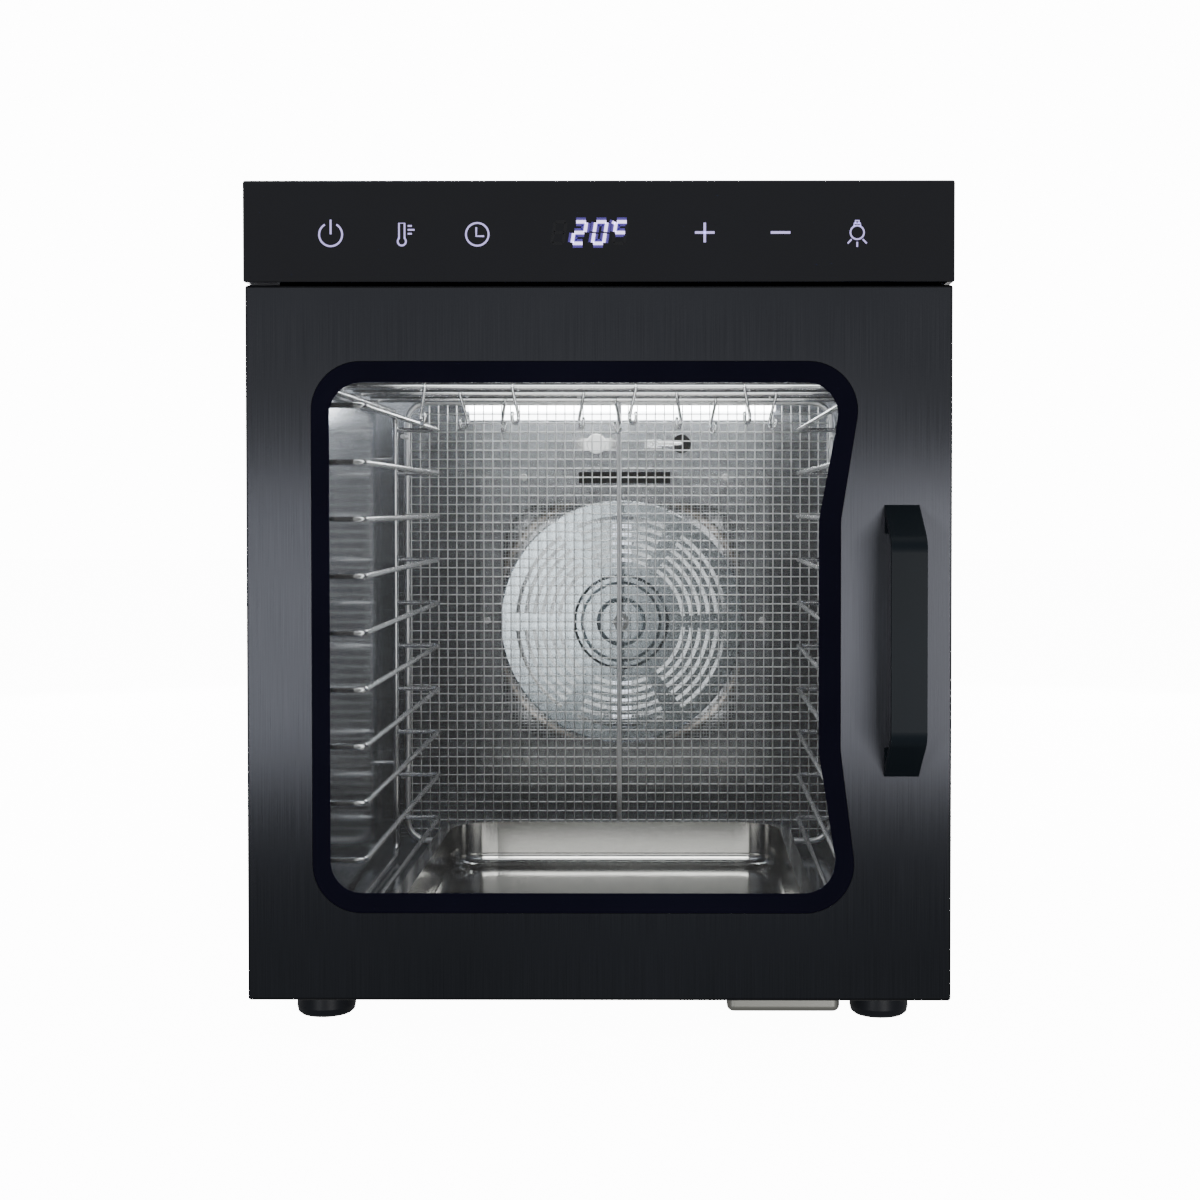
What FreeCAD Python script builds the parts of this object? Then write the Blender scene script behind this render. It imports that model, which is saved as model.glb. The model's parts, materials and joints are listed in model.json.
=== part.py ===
import FreeCAD, Part
import math
import os

from FreeCAD import Vector

# Front-loading steel food dehydrator with a windowed door, wire rail racks, hanging hooks
# and a rear fan.  Millimetres.  x = 0 is the middle of the cabinet, -Y is the door side,
# z = 0 is the surface that the rubber feet stand on.

# ---- cabinet ------------------------------------------------------------------------------
WIDTH = 345.0
FOOT_HEIGHT = 17.0
TOTAL_HEIGHT = 418.0
DOOR_FACE = -210.0
DOOR_BACK = -186.0
CABINET_FRONT = -183.0
CABINET_BACK = 238.5
SHEET = 1.0
FOLD_RADIUS = 3.0
HALF_WIDTH = WIDTH / 2
BASE = FOOT_HEIGHT
TOP = TOTAL_HEIGHT
BACK_PANEL_INNER = CABINET_BACK - 1.2

# ---- control fascia -----------------------------------------------------------------------
FASCIA_BOTTOM = BASE + 351.6
FASCIA_FACE = -211.0
FASCIA_HALF_WIDTH = 173.2
FASCIA_WALL = 2.5
EDGE_RADIUS = 1.2
KEY_X = (-130.0, -96.0, -59.0, 51.6, 88.4, 125.6)
KEY_Z = BASE + 375.5
DISPLAY_X = 0.0

# ---- drying chamber -----------------------------------------------------------------------
CHAMBER_HALF = 158.0
CHAMBER_FLOOR = BASE + 5.0
CHAMBER_TOP = BASE + 345.0
CHAMBER_BACK = 190.0
LINER = 0.8
CHAMBER_FRONT = CABINET_FRONT + SHEET

# ---- door ---------------------------------------------------------------------------------
DOOR_TOP = BASE + 350.4
DOOR_FOLD = 1.5
HINGE_X = -HALF_WIDTH + 4.0
HINGE_Y = -198.0
PIN_RADIUS = 2.0
PIN_CLEARANCE = 0.05
PIN_HOLE_IN_SKIN = 3.0
LEAF = 3.0
TONGUE = 0.8
GLASS_FRONT = DOOR_FACE + 0.3
GLASS_BACK = GLASS_FRONT + 4.0
SEAL_WIDTH = 4.0
SEAL_GAP = 0.2

# window outline: the edge of the glass
GLASS_LEFT = -140.3
GLASS_RIGHT_TOP = 130.3
GLASS_RIGHT_WAIST = 118.0
GLASS_RIGHT_BOTTOM = 128.0
GLASS_BOTTOM = BASE + 43.3
GLASS_TOP = BASE + 313.2
WAIST_LOW = BASE + 123.0
WAIST_HIGH = BASE + 236.0
GLASS_CORNER = 24.0
WAIST_BEND = 30.0

# handle: a flat strap bent into a bridge
HANDLE_X = 147.8
HANDLE_WIDTH = 17.0
HANDLE_THICK = 3.5
HANDLE_FRONT = -240.0
HANDLE_FOOT_LOW = BASE + 110.5
HANDLE_FOOT_HIGH = BASE + 243.3
HANDLE_BAR_LOW = BASE + 131.0
HANDLE_BAR_HIGH = BASE + 226.0
HANDLE_BEND = 9.0
HANDLE_SCREW_Z = (HANDLE_FOOT_LOW + 8.0, HANDLE_FOOT_HIGH - 8.0)

# ---- rail racks ---------------------------------------------------------------------------
RAIL_LEVELS = 10
RAIL_PITCH = 29.0
RAIL_LOWEST = BASE + 33.0
RAIL_X = 121.0
POST_X = 150.0
RACK_FRONT = -172.0
RACK_BACK = 128.0
RAIL_RADIUS = 1.5
POST_RADIUS = 2.0
RAIL_BEND = 5.0
RACK_BOTTOM = CHAMBER_FLOOR + POST_RADIUS
RACK_TOP = BASE + 306.0

# ---- hanging rods and hooks ---------------------------------------------------------------
ROD_RADIUS = 2.0
ROD_Z = RACK_TOP + POST_RADIUS + ROD_RADIUS
ROD_HALF = 154.0
ROD_Y = {"front": -75.0, "middle": -13.0, "rear": 49.0}
HOOK_WIRE = 0.9
HOOK_TOP_RADIUS = 3.9
HOOK_LOW_RADIUS = 4.2
HOOK_REST_GAP = 0.4
HOOK_DROP = 22.0
# each hook: rod, x along the rod, twist of its plane about the vertical
HOOKS = [
    ("front", -104.0, 24.0),
    ("front", -52.0, -20.0),
    ("front", 14.0, 26.0),
    ("front", 78.0, -24.0),
    ("middle", -88.0, -26.0),
    ("middle", -18.0, 22.0),
    ("middle", 40.0, -18.0),
    ("middle", 96.0, 25.0),
    ("rear", -70.0, 20.0),
    ("rear", 2.0, -24.0),
    ("rear", 62.0, 22.0),
]

# ---- upright guard in front of the fan ----------------------------------------------------
GUARD_Y = 152.0
GUARD_HALF = 147.5
GUARD_BOTTOM = BASE + 11.0
GUARD_TOP = BASE + 316.0
GUARD_CORNER = 14.0
GUARD_WIRE = 2.0
MESH_WIRE = 0.4
MESH_PITCH = 6.2
GUARD_BAR = 0.8
GUARD_LUG_HEIGHTS = (BASE + 60.0, BASE + 290.0)

# ---- fan ----------------------------------------------------------------------------------
FAN_X = 1.0
FAN_Z = BASE + 163.0
SHROUD_FACE = 176.0
SHROUD_X0 = -98.0
SHROUD_X1 = 104.0
SHROUD_Z0 = BASE + 60.0
SHROUD_Z1 = BASE + 268.0
FAN_OPENING_HALF = 82.5
FAN_OPENING_CORNER = 32.0
SLOT_X = 3.0
SLOT_HALF = 32.0
SLOT_HEIGHT = 8.0
WHEEL_RADIUS = 76.0
WHEEL_BACK = 202.0
WHEEL_BLADE_FRONT = 184.0
WHEEL_BLADES = 12
HUB_RADIUS = 10.0
SHAFT_RADIUS = 3.0
SHAFT_CLEARANCE = 0.05
SHAFT_FRONT = 181.5
WALL_HOLE_RADIUS = 80.0
PLENUM_BACK = 208.0
MOTOR_BACK = 234.0
DISC_RADIUS = 84.0
DISC_Y = 164.0
DISC_SHEET = 1.0
DISC_ROWS = 6
DISC_SECTORS = 6
DISC_FIRST_ROW = 43.0
DISC_ROW_PITCH = 5.8
DISC_SLOT = 2.6
DISC_SECTOR_SPAN = 50.0
DISC_HUB_RISE = 4.0
STRAP_FRONT = 178.6
STUD_RADIUS = 2.0
NUT_THICK = 2.6
NUT_DOME = 3.2
HEATER_RING = 91.0
HEATER_TUBE = 3.2
HEATER_Y = 183.0

# ---- drip tray ----------------------------------------------------------------------------
TRAY_X0 = -114.0
TRAY_X1 = 112.5
TRAY_FRONT = -162.0
TRAY_BACK = 108.0
TRAY_HEIGHT = 29.0
TRAY_FLANGE = 6.0
TRAY_SHEET = 1.0
TRAY_CORNER = 29.0
TRAY_LIFT = 0.3

# ---- feet ---------------------------------------------------------------------------------
FOOT_X = 142.0
FOOT_Y = (-166.0, 205.0)
FOOT_RADIUS = 15.0

# ---- sensors, lamp and screws inside ------------------------------------------------------
SENSOR_Z = BASE + 287.0
THERMOSTAT_X = -17.0
PROBE_X0, PROBE_X1 = 26.0, 37.0
PROBE_HOLE_X = 43.0
PROBE_HOLE_RADIUS = 6.6
LAMP_Z = BASE + 314.0
SCREW_SHANK = 1.3
BACK_SCREWS = [(x, BASE + z) for x in (-162.0, 162.0) for z in (12.0, 130.0, 260.0, 388.0)]
SHROUD_SCREWS = [(-67.5, SHROUD_Z1 - 5.0), (73.5, SHROUD_Z1 - 5.0), (-93.5, FAN_Z), (99.5, FAN_Z),
                 (-66.0, SHROUD_Z0 + 5.0), (72.5, SHROUD_Z0 + 5.0)]

# ---- inlet, underside cover, magnet -------------------------------------------------------
INLET_X = 120.0
INLET_Z = BASE + 38.0
COVER_X = 92.0
COVER_HALF = 28.5
COVER_FRONT, COVER_BACK = -185.0, 60.0
COVER_DEPTH = 12.5
MAGNET_X0, MAGNET_X1 = 164.0, 170.0
MAGNET_Z0, MAGNET_Z1 = BASE + 155.0, BASE + 195.0

os.makedirs("parts", exist_ok=True)


# ---- small helpers ------------------------------------------------------------------------
def save(node, *shapes):
    """Write one node; several solids share a file as a compound."""
    shape = shapes[0] if len(shapes) == 1 else Part.makeCompound(list(shapes))
    shape.exportStep("parts/" + node + ".step")


def box(x0, x1, y0, y1, z0, z1):
    return Part.makeBox(x1 - x0, y1 - y0, z1 - z0, Vector(x0, y0, z0))


def rod(radius, start, end):
    """A straight round bar between two points."""
    start = Vector(*start)
    along = Vector(*end) - start
    return Part.makeCylinder(radius, along.Length, start, along)


def fuse(shapes):
    """Join touching shapes into one solid."""
    joined = shapes[0].multiFuse(shapes[1:]).removeSplitter()
    return joined.Solids[0] if len(joined.Solids) == 1 else joined


def edges_along(shape, direction):
    """The straight edges of a shape that run along a direction."""
    found = []
    for edge in shape.Edges:
        if not isinstance(edge.Curve, Part.Line):
            continue
        if abs(abs(edge.tangentAt(edge.FirstParameter).dot(direction)) - 1.0) < 1e-6:
            found.append(edge)
    return found


def rounded_box(x0, x1, y0, y1, z0, z1, radius, direction=Vector(0, 1, 0)):
    """A box whose edges along one direction are rounded."""
    plain = box(x0, x1, y0, y1, z0, z1)
    return plain.makeFillet(radius, edges_along(plain, direction))


def outline_face(points, radii):
    """A flat face whose corners are rounded by arcs; points are vectors in one plane."""
    count = len(points)
    edges = []
    ends = []
    for i in range(count):
        corner = points[i]
        towards_last = (points[i - 1] - corner).normalize()
        towards_next = (points[(i + 1) % count] - corner).normalize()
        half = towards_last.getAngle(towards_next) / 2
        tangent = radii[i] / math.tan(half)
        middle = (towards_last + towards_next).normalize()
        reach = radii[i] / math.sin(half) - radii[i]
        first = corner + towards_last * tangent
        second = corner + towards_next * tangent
        ends.append((first, corner + middle * reach, second))
    for i in range(count):
        first, through, second = ends[i]
        edges.append(Part.Arc(first, through, second).toShape())
        edges.append(Part.LineSegment(second, ends[(i + 1) % count][0]).toShape())
    return Part.Face(Part.Wire(edges))


def bent_wire(points, radius, bend):
    """A round wire along straight runs that are joined by tangent arcs."""
    points = [Vector(*point) for point in points]
    edges = []
    last = points[0]
    for before, corner, after in zip(points, points[1:], points[2:]):
        back = (before - corner).normalize()
        on = (after - corner).normalize()
        half = back.getAngle(on) / 2
        first = corner + back * (bend / math.tan(half))
        second = corner + on * (bend / math.tan(half))
        through = corner + (back + on).normalize() * (bend / math.sin(half) - bend)
        edges.append(Part.LineSegment(last, first).toShape())
        edges.append(Part.Arc(first, through, second).toShape())
        last = second
    edges.append(Part.LineSegment(last, points[-1]).toShape())
    path = Part.Wire(edges)
    profile = Part.Wire(Part.makeCircle(radius, points[0], points[1] - points[0]))
    return path.makePipeShell([profile], True, False)


def pan_head_screw(centre, direction, head_radius, head_height, shank_radius, shank_length):
    """A screw whose head stands on a face; direction points out of the face."""
    out = Vector(*direction)
    seat = Vector(*centre)
    head = Part.makeCylinder(head_radius, head_height, seat, out)
    head = head.makeFillet(head_height * 0.45, [head.Edges[0]])
    shank = Part.makeCylinder(shank_radius, shank_length, seat - out * shank_length, out)
    slot_depth = head_height * 0.5
    slot = Part.makeBox(head_radius * 1.2, head_radius * 0.3, slot_depth)
    slot.translate(Vector(-head_radius * 0.6, -head_radius * 0.15, 0))
    cross = slot.copy()
    cross.rotate(Vector(0, 0, 0), Vector(0, 0, 1), 90)
    recess = fuse([slot, cross])
    recess.Placement = FreeCAD.Placement(
        seat + out * (head_height - slot_depth + 0.001),
        FreeCAD.Rotation(Vector(0, 0, 1), out))
    return fuse([head, shank]).cut(recess)


# ---- cabinet sheets -----------------------------------------------------------------------
def outer_shell():
    """One sheet folded over both sides and the top."""
    y0, y1 = CABINET_FRONT, BACK_PANEL_INNER
    outer = box(-HALF_WIDTH, HALF_WIDTH, y0, y1, BASE, TOP)
    top_edges = [e for e in edges_along(outer, Vector(0, 1, 0)) if e.CenterOfMass.z > TOP - 1]
    outer = outer.makeFillet(FOLD_RADIUS, top_edges)
    side = HALF_WIDTH - SHEET
    inner = box(-side, side, y0 - 1, y1 + 1, BASE - 1, TOP - SHEET)
    top_edges = [e for e in edges_along(inner, Vector(0, 1, 0)) if e.CenterOfMass.z > BASE]
    inner = inner.makeFillet(FOLD_RADIUS - SHEET, top_edges)
    save("outer_shell", outer.cut(inner))


def base_plate():
    """Bottom sheet with low side flanges and a row of intake slots near the back."""
    side = HALF_WIDTH - SHEET
    flange_height = 4.0
    sheet = box(-side, side, CHAMBER_FRONT, BACK_PANEL_INNER, BASE, BASE + SHEET)
    left = box(-side, -side + SHEET, CHAMBER_FRONT, BACK_PANEL_INNER, BASE, BASE + flange_height)
    right = box(side - SHEET, side, CHAMBER_FRONT, BACK_PANEL_INNER, BASE, BASE + flange_height)
    slots = []
    for i in range(9):
        x = -48.0 + i * 12.0
        slots.append(box(x - 2.0, x + 2.0, 202.0, 230.0, BASE - 1, BASE + SHEET + 1))
    save("base_plate", fuse([sheet, left, right]).cut(Part.makeCompound(slots)))


def back_panel():
    """Rear sheet with two fields of vent slots and the cut-out for the power inlet."""
    side = HALF_WIDTH
    panel = rounded_box(-side, side, BACK_PANEL_INNER, CABINET_BACK, BASE, TOP, 2.0)
    cuts = []
    for row in range(9):
        z = BASE + 110.0 + row * 13.0
        for x in (-33.0, 0.0, 33.0):
            cuts.append(rounded_box(FAN_X + x - 13.0, FAN_X + x + 13.0, BACK_PANEL_INNER - 1,
                                    CABINET_BACK + 1, z - 2.0, z + 2.0, 1.9))
    for i in range(11):
        x = -60.0 + i * 12.0
        cuts.append(rounded_box(x - 1.8, x + 1.8, BACK_PANEL_INNER - 1, CABINET_BACK + 1,
                                BASE + 362.0, BASE + 388.0, 1.7))
    cuts.append(box(INLET_X - 13.8, INLET_X + 13.8, BACK_PANEL_INNER - 1, CABINET_BACK + 1,
                    INLET_Z - 10.2, INLET_Z + 10.2))
    for x, z in BACK_SCREWS:
        cuts.append(rod(SCREW_SHANK, (x, BACK_PANEL_INNER - 1, z), (x, CABINET_BACK + 1, z)))
    save("back_panel", panel.cut(Part.makeCompound(cuts)))


def front_frame():
    """Front ring that joins the shell to the chamber and carries the magnet."""
    side = HALF_WIDTH - SHEET
    plate = box(-side, side, CABINET_FRONT, CHAMBER_FRONT, BASE, TOP - SHEET)
    corners = [e for e in edges_along(plate, Vector(0, 1, 0)) if e.CenterOfMass.z > BASE + 1]
    plate = plate.makeFillet(FOLD_RADIUS - SHEET, corners)
    chamber = rounded_box(-CHAMBER_HALF, CHAMBER_HALF, CABINET_FRONT - 1, CHAMBER_FRONT + 1,
                          CHAMBER_FLOOR, CHAMBER_TOP, 3.0)
    cable_window = box(-60.0, 60.0, CABINET_FRONT - 1, CHAMBER_FRONT + 1,
                       FASCIA_BOTTOM + 8.0, TOP - 12.0)
    magnet_window = box(MAGNET_X0, MAGNET_X1, CABINET_FRONT - 1, CHAMBER_FRONT + 1,
                        MAGNET_Z0, MAGNET_Z1)
    save("front_frame", plate.cut([chamber, cable_window, magnet_window]))


def chamber():
    """The polished liner: two sides, floor, ceiling and the rear wall with its air openings."""
    half, skin = CHAMBER_HALF, CHAMBER_HALF + LINER
    y0, y1 = CHAMBER_FRONT, CHAMBER_BACK
    save("chamber_side_left", box(-skin, -half, y0, y1, CHAMBER_FLOOR, CHAMBER_TOP))
    save("chamber_side_right", box(half, skin, y0, y1, CHAMBER_FLOOR, CHAMBER_TOP))
    save("chamber_floor", box(-skin, skin, y0, y1, CHAMBER_FLOOR - LINER, CHAMBER_FLOOR))
    save("chamber_ceiling", box(-skin, skin, y0, y1, CHAMBER_TOP, CHAMBER_TOP + LINER))
    wall = box(-skin, skin, y1, y1 + LINER, CHAMBER_FLOOR - LINER, CHAMBER_TOP + LINER)
    fan_hole = Part.makeCylinder(WALL_HOLE_RADIUS, 4 * LINER, Vector(FAN_X, y1 - LINER, FAN_Z),
                                 Vector(0, 1, 0))
    probe_hole = Part.makeCylinder(PROBE_HOLE_RADIUS, 4 * LINER,
                                   Vector(PROBE_HOLE_X, y1 - LINER, SENSOR_Z), Vector(0, 1, 0))
    slot = box(SLOT_X - SLOT_HALF - 2.0, SLOT_X + SLOT_HALF + 2.0, y1 - 1, y1 + 2,
               SHROUD_Z1 - SHEET - SLOT_HEIGHT - 1.5, SHROUD_Z1 - SHEET)
    save("chamber_back_wall", wall.cut([fan_hole, probe_hole, slot]))


def underside_cover():
    """Pressed steel cover over the wiring channel, screwed under the base."""
    half = COVER_HALF
    outer = rounded_box(COVER_X - half, COVER_X + half, COVER_FRONT, COVER_BACK,
                        BASE - COVER_DEPTH, BASE, 4.0, Vector(0, 0, 1))
    outer = outer.makeFillet(3.0, [e for e in outer.Edges
                                   if abs(e.CenterOfMass.z - BASE + COVER_DEPTH) < 0.1])
    t = LINER
    inner = rounded_box(COVER_X - half + t, COVER_X + half - t, COVER_FRONT + t, COVER_BACK - t,
                        BASE - COVER_DEPTH + t, BASE + 1.0, 4.0 - t, Vector(0, 0, 1))
    inner = inner.makeFillet(3.0 - t, [e for e in inner.Edges
                                       if abs(e.CenterOfMass.z - BASE + COVER_DEPTH - t) < 0.1])
    save("underside_cover", outer.cut(inner))


# ---- control fascia and electronics -------------------------------------------------------
def control_fascia():
    """Gloss touch panel: a shallow cover that is open at the back."""
    side = FASCIA_HALF_WIDTH
    outer = box(-side, side, FASCIA_FACE, CABINET_FRONT, FASCIA_BOTTOM, TOP)
    outer = outer.makeFillet(EDGE_RADIUS, [e for e in outer.Edges
                                           if e.CenterOfMass.y < CABINET_FRONT - 1])
    inner = box(-side + FASCIA_WALL, side - FASCIA_WALL, FASCIA_FACE + FASCIA_WALL,
                CABINET_FRONT + 1, FASCIA_BOTTOM + FASCIA_WALL, TOP - FASCIA_WALL)
    save("control_fascia", outer.cut(inner))


def electronics():
    """Touch board with the display soldered on it, mains board and the C14 power inlet."""
    board_front = FASCIA_FACE + FASCIA_WALL + 6.0
    board = box(-150.0, 150.0, board_front, board_front + 1.6, FASCIA_BOTTOM + 5.0, TOP - 5.0)
    pads = []
    for x in KEY_X:
        pads.append(rod(6.0, (x, board_front - 6.0, KEY_Z), (x, board_front, KEY_Z)))
    brackets = [box(x - 4.0, x + 4.0, board_front + 1.6, CABINET_FRONT, KEY_Z - 15.0, KEY_Z - 12.0)
                for x in (-120.0, 120.0)]
    display = box(DISPLAY_X - 26.0, DISPLAY_X + 26.0, board_front - 6.0, board_front,
                  KEY_Z - 10.0, KEY_Z + 10.0)
    save("control_board", fuse([board, display] + pads + brackets))
    deck = CHAMBER_TOP + LINER
    plate = box(-70.0, 60.0, -40.0, 70.0, deck + 8.0, deck + 9.6)
    legs = [rod(3.0, (x, y, deck), (x, y, deck + 8.0)) for x in (-64.0, 54.0) for y in (-34.0, 64.0)]
    transformer = box(-56.0, -20.0, -24.0, 16.0, deck + 9.6, deck + 38.0)
    relays = [box(x, x + 16.0, 24.0, 52.0, deck + 9.6, deck + 26.0) for x in (-10.0, 14.0)]
    capacitor = rod(8.0, (24.0, -14.0, deck + 9.6), (24.0, -14.0, deck + 32.0))
    save("power_board", fuse([plate, transformer, capacitor] + legs + relays))
    flange = rounded_box(INLET_X - 24.0, INLET_X + 24.0, CABINET_BACK, CABINET_BACK + 1.5,
                         INLET_Z - 12.5, INLET_Z + 12.5, 4.0)
    body = box(INLET_X - 13.8, INLET_X + 13.8, CABINET_BACK - 15.0, CABINET_BACK + 1.0,
               INLET_Z - 10.2, INLET_Z + 10.2)
    socket = rounded_box(INLET_X - 12.0, INLET_X + 12.0, CABINET_BACK - 12.5, CABINET_BACK + 2.0,
                         INLET_Z - 8.0, INLET_Z + 8.0, 2.5)
    pins = [box(INLET_X + x - 1.0, INLET_X + x + 1.0, CABINET_BACK - 13.0, CABINET_BACK - 5.0,
                INLET_Z + z - 2.0, INLET_Z + z + 2.0) for x, z in ((-7.0, -2.0), (0.0, 2.0), (7.0, -2.0))]
    save("power_inlet", fuse([fuse([flange, body]).cut(socket)] + pins))


# ---- rail racks, rods and hooks -----------------------------------------------------------
def rail_rack(node, side):
    """Welded wire rack: a side loop on the wall and a U-shaped rail at each level."""
    post = side * POST_X
    middle = (RACK_FRONT + RACK_BACK) / 2
    loop = [(post, middle, RACK_BOTTOM), (post, RACK_BACK, RACK_BOTTOM),
            (post, RACK_BACK, RACK_TOP), (post, RACK_FRONT, RACK_TOP),
            (post, RACK_FRONT, RACK_BOTTOM), (post, middle, RACK_BOTTOM)]
    pieces = [bent_wire(loop, POST_RADIUS, RAIL_BEND * 2)]
    for level in range(RAIL_LEVELS):
        z = RAIL_LOWEST + level * RAIL_PITCH
        rail = [(post, RACK_FRONT, z), (side * RAIL_X, RACK_FRONT, z),
                (side * RAIL_X, RACK_BACK, z), (post, RACK_BACK, z)]
        pieces.append(bent_wire(rail, RAIL_RADIUS, RAIL_BEND))
    for y in (RACK_FRONT, RACK_BACK):
        for z in (BASE + 70.0, BASE + 275.0):
            pieces.append(rod(RAIL_RADIUS, (post, y, z), (side * CHAMBER_HALF, y, z)))
    save(node, fuse(pieces))


def hanging_rods():
    """Three round rods that lie across the tops of both racks."""
    rods = []
    for y in ROD_Y.values():
        bar = rod(ROD_RADIUS, (-ROD_HALF, y, ROD_Z), (ROD_HALF, y, ROD_Z))
        rods.append(bar.makeFillet(0.6, bar.Edges[0:1] + bar.Edges[2:3]))
    save("hanging_rods", *rods)


def hook_point(centre_height, radius, degrees):
    angle = math.radians(degrees)
    return Vector(0, radius * math.cos(angle), centre_height + radius * math.sin(angle))


def s_hook():
    """An S-shaped wire hook in the YZ plane; its rod runs along X through the origin."""
    top = ROD_RADIUS + HOOK_REST_GAP + HOOK_WIRE - HOOK_TOP_RADIUS
    low = HOOK_WIRE + HOOK_LOW_RADIUS - HOOK_DROP
    lean = math.degrees(math.asin((HOOK_TOP_RADIUS + HOOK_LOW_RADIUS) / (top - low)))
    upper = [hook_point(top, HOOK_TOP_RADIUS, a) for a in (-20.0, 90.0, 180.0 + lean)]
    lower = [hook_point(low, HOOK_LOW_RADIUS, a) for a in (lean, -90.0, -205.0)]
    path = Part.Wire([Part.Arc(*upper).toShape(),
                      Part.LineSegment(upper[2], lower[0]).toShape(),
                      Part.Arc(*lower).toShape()])
    start = upper[0]
    along = path.Edges[0].tangentAt(path.Edges[0].FirstParameter)
    profile = Part.Wire(Part.makeCircle(HOOK_WIRE, start, along))
    wire = path.makePipeShell([profile], True, False)
    tips = [Part.makeSphere(HOOK_WIRE, point) for point in (upper[0], lower[2])]
    return fuse([wire] + tips)


def hooks():
    """Hooks on the rods, each turned until its weight hangs straight below the rod."""
    for number, (rod_name, x, twist) in enumerate(HOOKS, start=1):
        hook = s_hook()
        hook.rotate(Vector(0, 0, 0), Vector(0, 0, 1), twist)
        weight = hook.CenterOfMass
        hook.rotate(Vector(0, 0, 0), Vector(1, 0, 0), -math.degrees(math.atan2(weight.y, -weight.z)))
        hook.translate(Vector(x, ROD_Y[rod_name], ROD_Z))
        save("hook_%02d" % number, hook)


# ---- upright wire guard -------------------------------------------------------------------
def guard_frame():
    """Rounded wire frame with a double centre bar and lugs that clip to the racks."""
    half = GUARD_HALF - GUARD_WIRE
    y = GUARD_Y
    low, high = GUARD_BOTTOM + GUARD_WIRE, GUARD_TOP - GUARD_WIRE
    loop = [(0, y, low), (half, y, low), (half, y, high), (-half, y, high), (-half, y, low), (0, y, low)]
    pieces = [bent_wire(loop, GUARD_WIRE, GUARD_CORNER)]
    bar_y = y - MESH_WIRE - GUARD_BAR - 0.1
    for x in (-GUARD_BAR - 0.05, GUARD_BAR + 0.05):
        pieces.append(rod(GUARD_BAR, (x, bar_y, low), (x, bar_y, high)))
    for side in (-1, 1):
        for z in GUARD_LUG_HEIGHTS:
            pieces.append(rod(1.5, (side * half, y, z),
                              (side * half, RACK_BACK + POST_RADIUS + 0.1, z)))
    save("guard_frame", fuse(pieces))


def clear_half(offset, half, corner):
    """Half length of a straight line at an offset inside a rounded rectangle's half size."""
    beyond = offset[0] - (offset[1] - corner)
    if beyond <= 0:
        return half
    return half - corner + math.sqrt(max(corner * corner - beyond * beyond, 0.0))


def guard_mesh():
    """Two layers of straight thin wires that fill the guard's frame."""
    half_x = GUARD_HALF - 2 * GUARD_WIRE - 0.1
    centre_z = (GUARD_BOTTOM + GUARD_TOP) / 2
    half_z = (GUARD_TOP - GUARD_BOTTOM) / 2 - 2 * GUARD_WIRE - 0.1
    corner = GUARD_CORNER - GUARD_WIRE
    layer = 2 * MESH_WIRE + 0.02
    wires = []
    columns = int(half_x / MESH_PITCH)
    for i in range(-columns, columns + 1):
        x = i * MESH_PITCH
        reach = clear_half((abs(x) + MESH_WIRE, half_x), half_z, corner)
        wires.append(rod(MESH_WIRE, (x, GUARD_Y, centre_z - reach), (x, GUARD_Y, centre_z + reach)))
    rows = int(half_z / MESH_PITCH)
    for i in range(-rows, rows + 1):
        z = i * MESH_PITCH
        reach = clear_half((abs(z) + MESH_WIRE, half_z), half_x, corner)
        wires.append(rod(MESH_WIRE, (-reach, GUARD_Y + layer, centre_z + z),
                         (reach, GUARD_Y + layer, centre_z + z)))
    save("guard_mesh", *wires)


# ---- fan group ----------------------------------------------------------------------------
def fan_opening(y0, y1, grow=0.0):
    half = FAN_OPENING_HALF + grow
    return rounded_box(FAN_X - half, FAN_X + half, y0, y1, FAN_Z - half, FAN_Z + half,
                       FAN_OPENING_CORNER + grow)


def fan_shroud():
    """Raised pan on the rear wall with the fan opening and a slot near its top."""
    outer = rounded_box(SHROUD_X0, SHROUD_X1, SHROUD_FACE, CHAMBER_BACK, SHROUD_Z0, SHROUD_Z1, 8.0)
    inner = rounded_box(SHROUD_X0 + 1, SHROUD_X1 - 1, SHROUD_FACE + 1, CHAMBER_BACK + 1,
                        SHROUD_Z0 + 1, SHROUD_Z1 - 1, 7.0)
    slot = box(SLOT_X - SLOT_HALF, SLOT_X + SLOT_HALF, SHROUD_FACE - 1, SHROUD_FACE + 2,
               SHROUD_Z1 - SHEET - SLOT_HEIGHT, SHROUD_Z1 - SHEET)
    holes = [rod(SCREW_SHANK, (x, SHROUD_FACE - 1, z), (x, SHROUD_FACE + 2, z))
             for x, z in SHROUD_SCREWS]
    pan = outer.cut([inner, fan_opening(SHROUD_FACE - 1, SHROUD_FACE + 2), slot] + holes)
    tabs = []
    for x in (SLOT_X - 23.0, SLOT_X + 23.0):
        tabs.append(box(x - 4.5, x + 4.5, SHROUD_FACE - 4.0, SHROUD_FACE,
                        SHROUD_Z1 - 15.0, SHROUD_Z1 - 9.5))
    save("fan_shroud", fuse([pan] + tabs))


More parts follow.
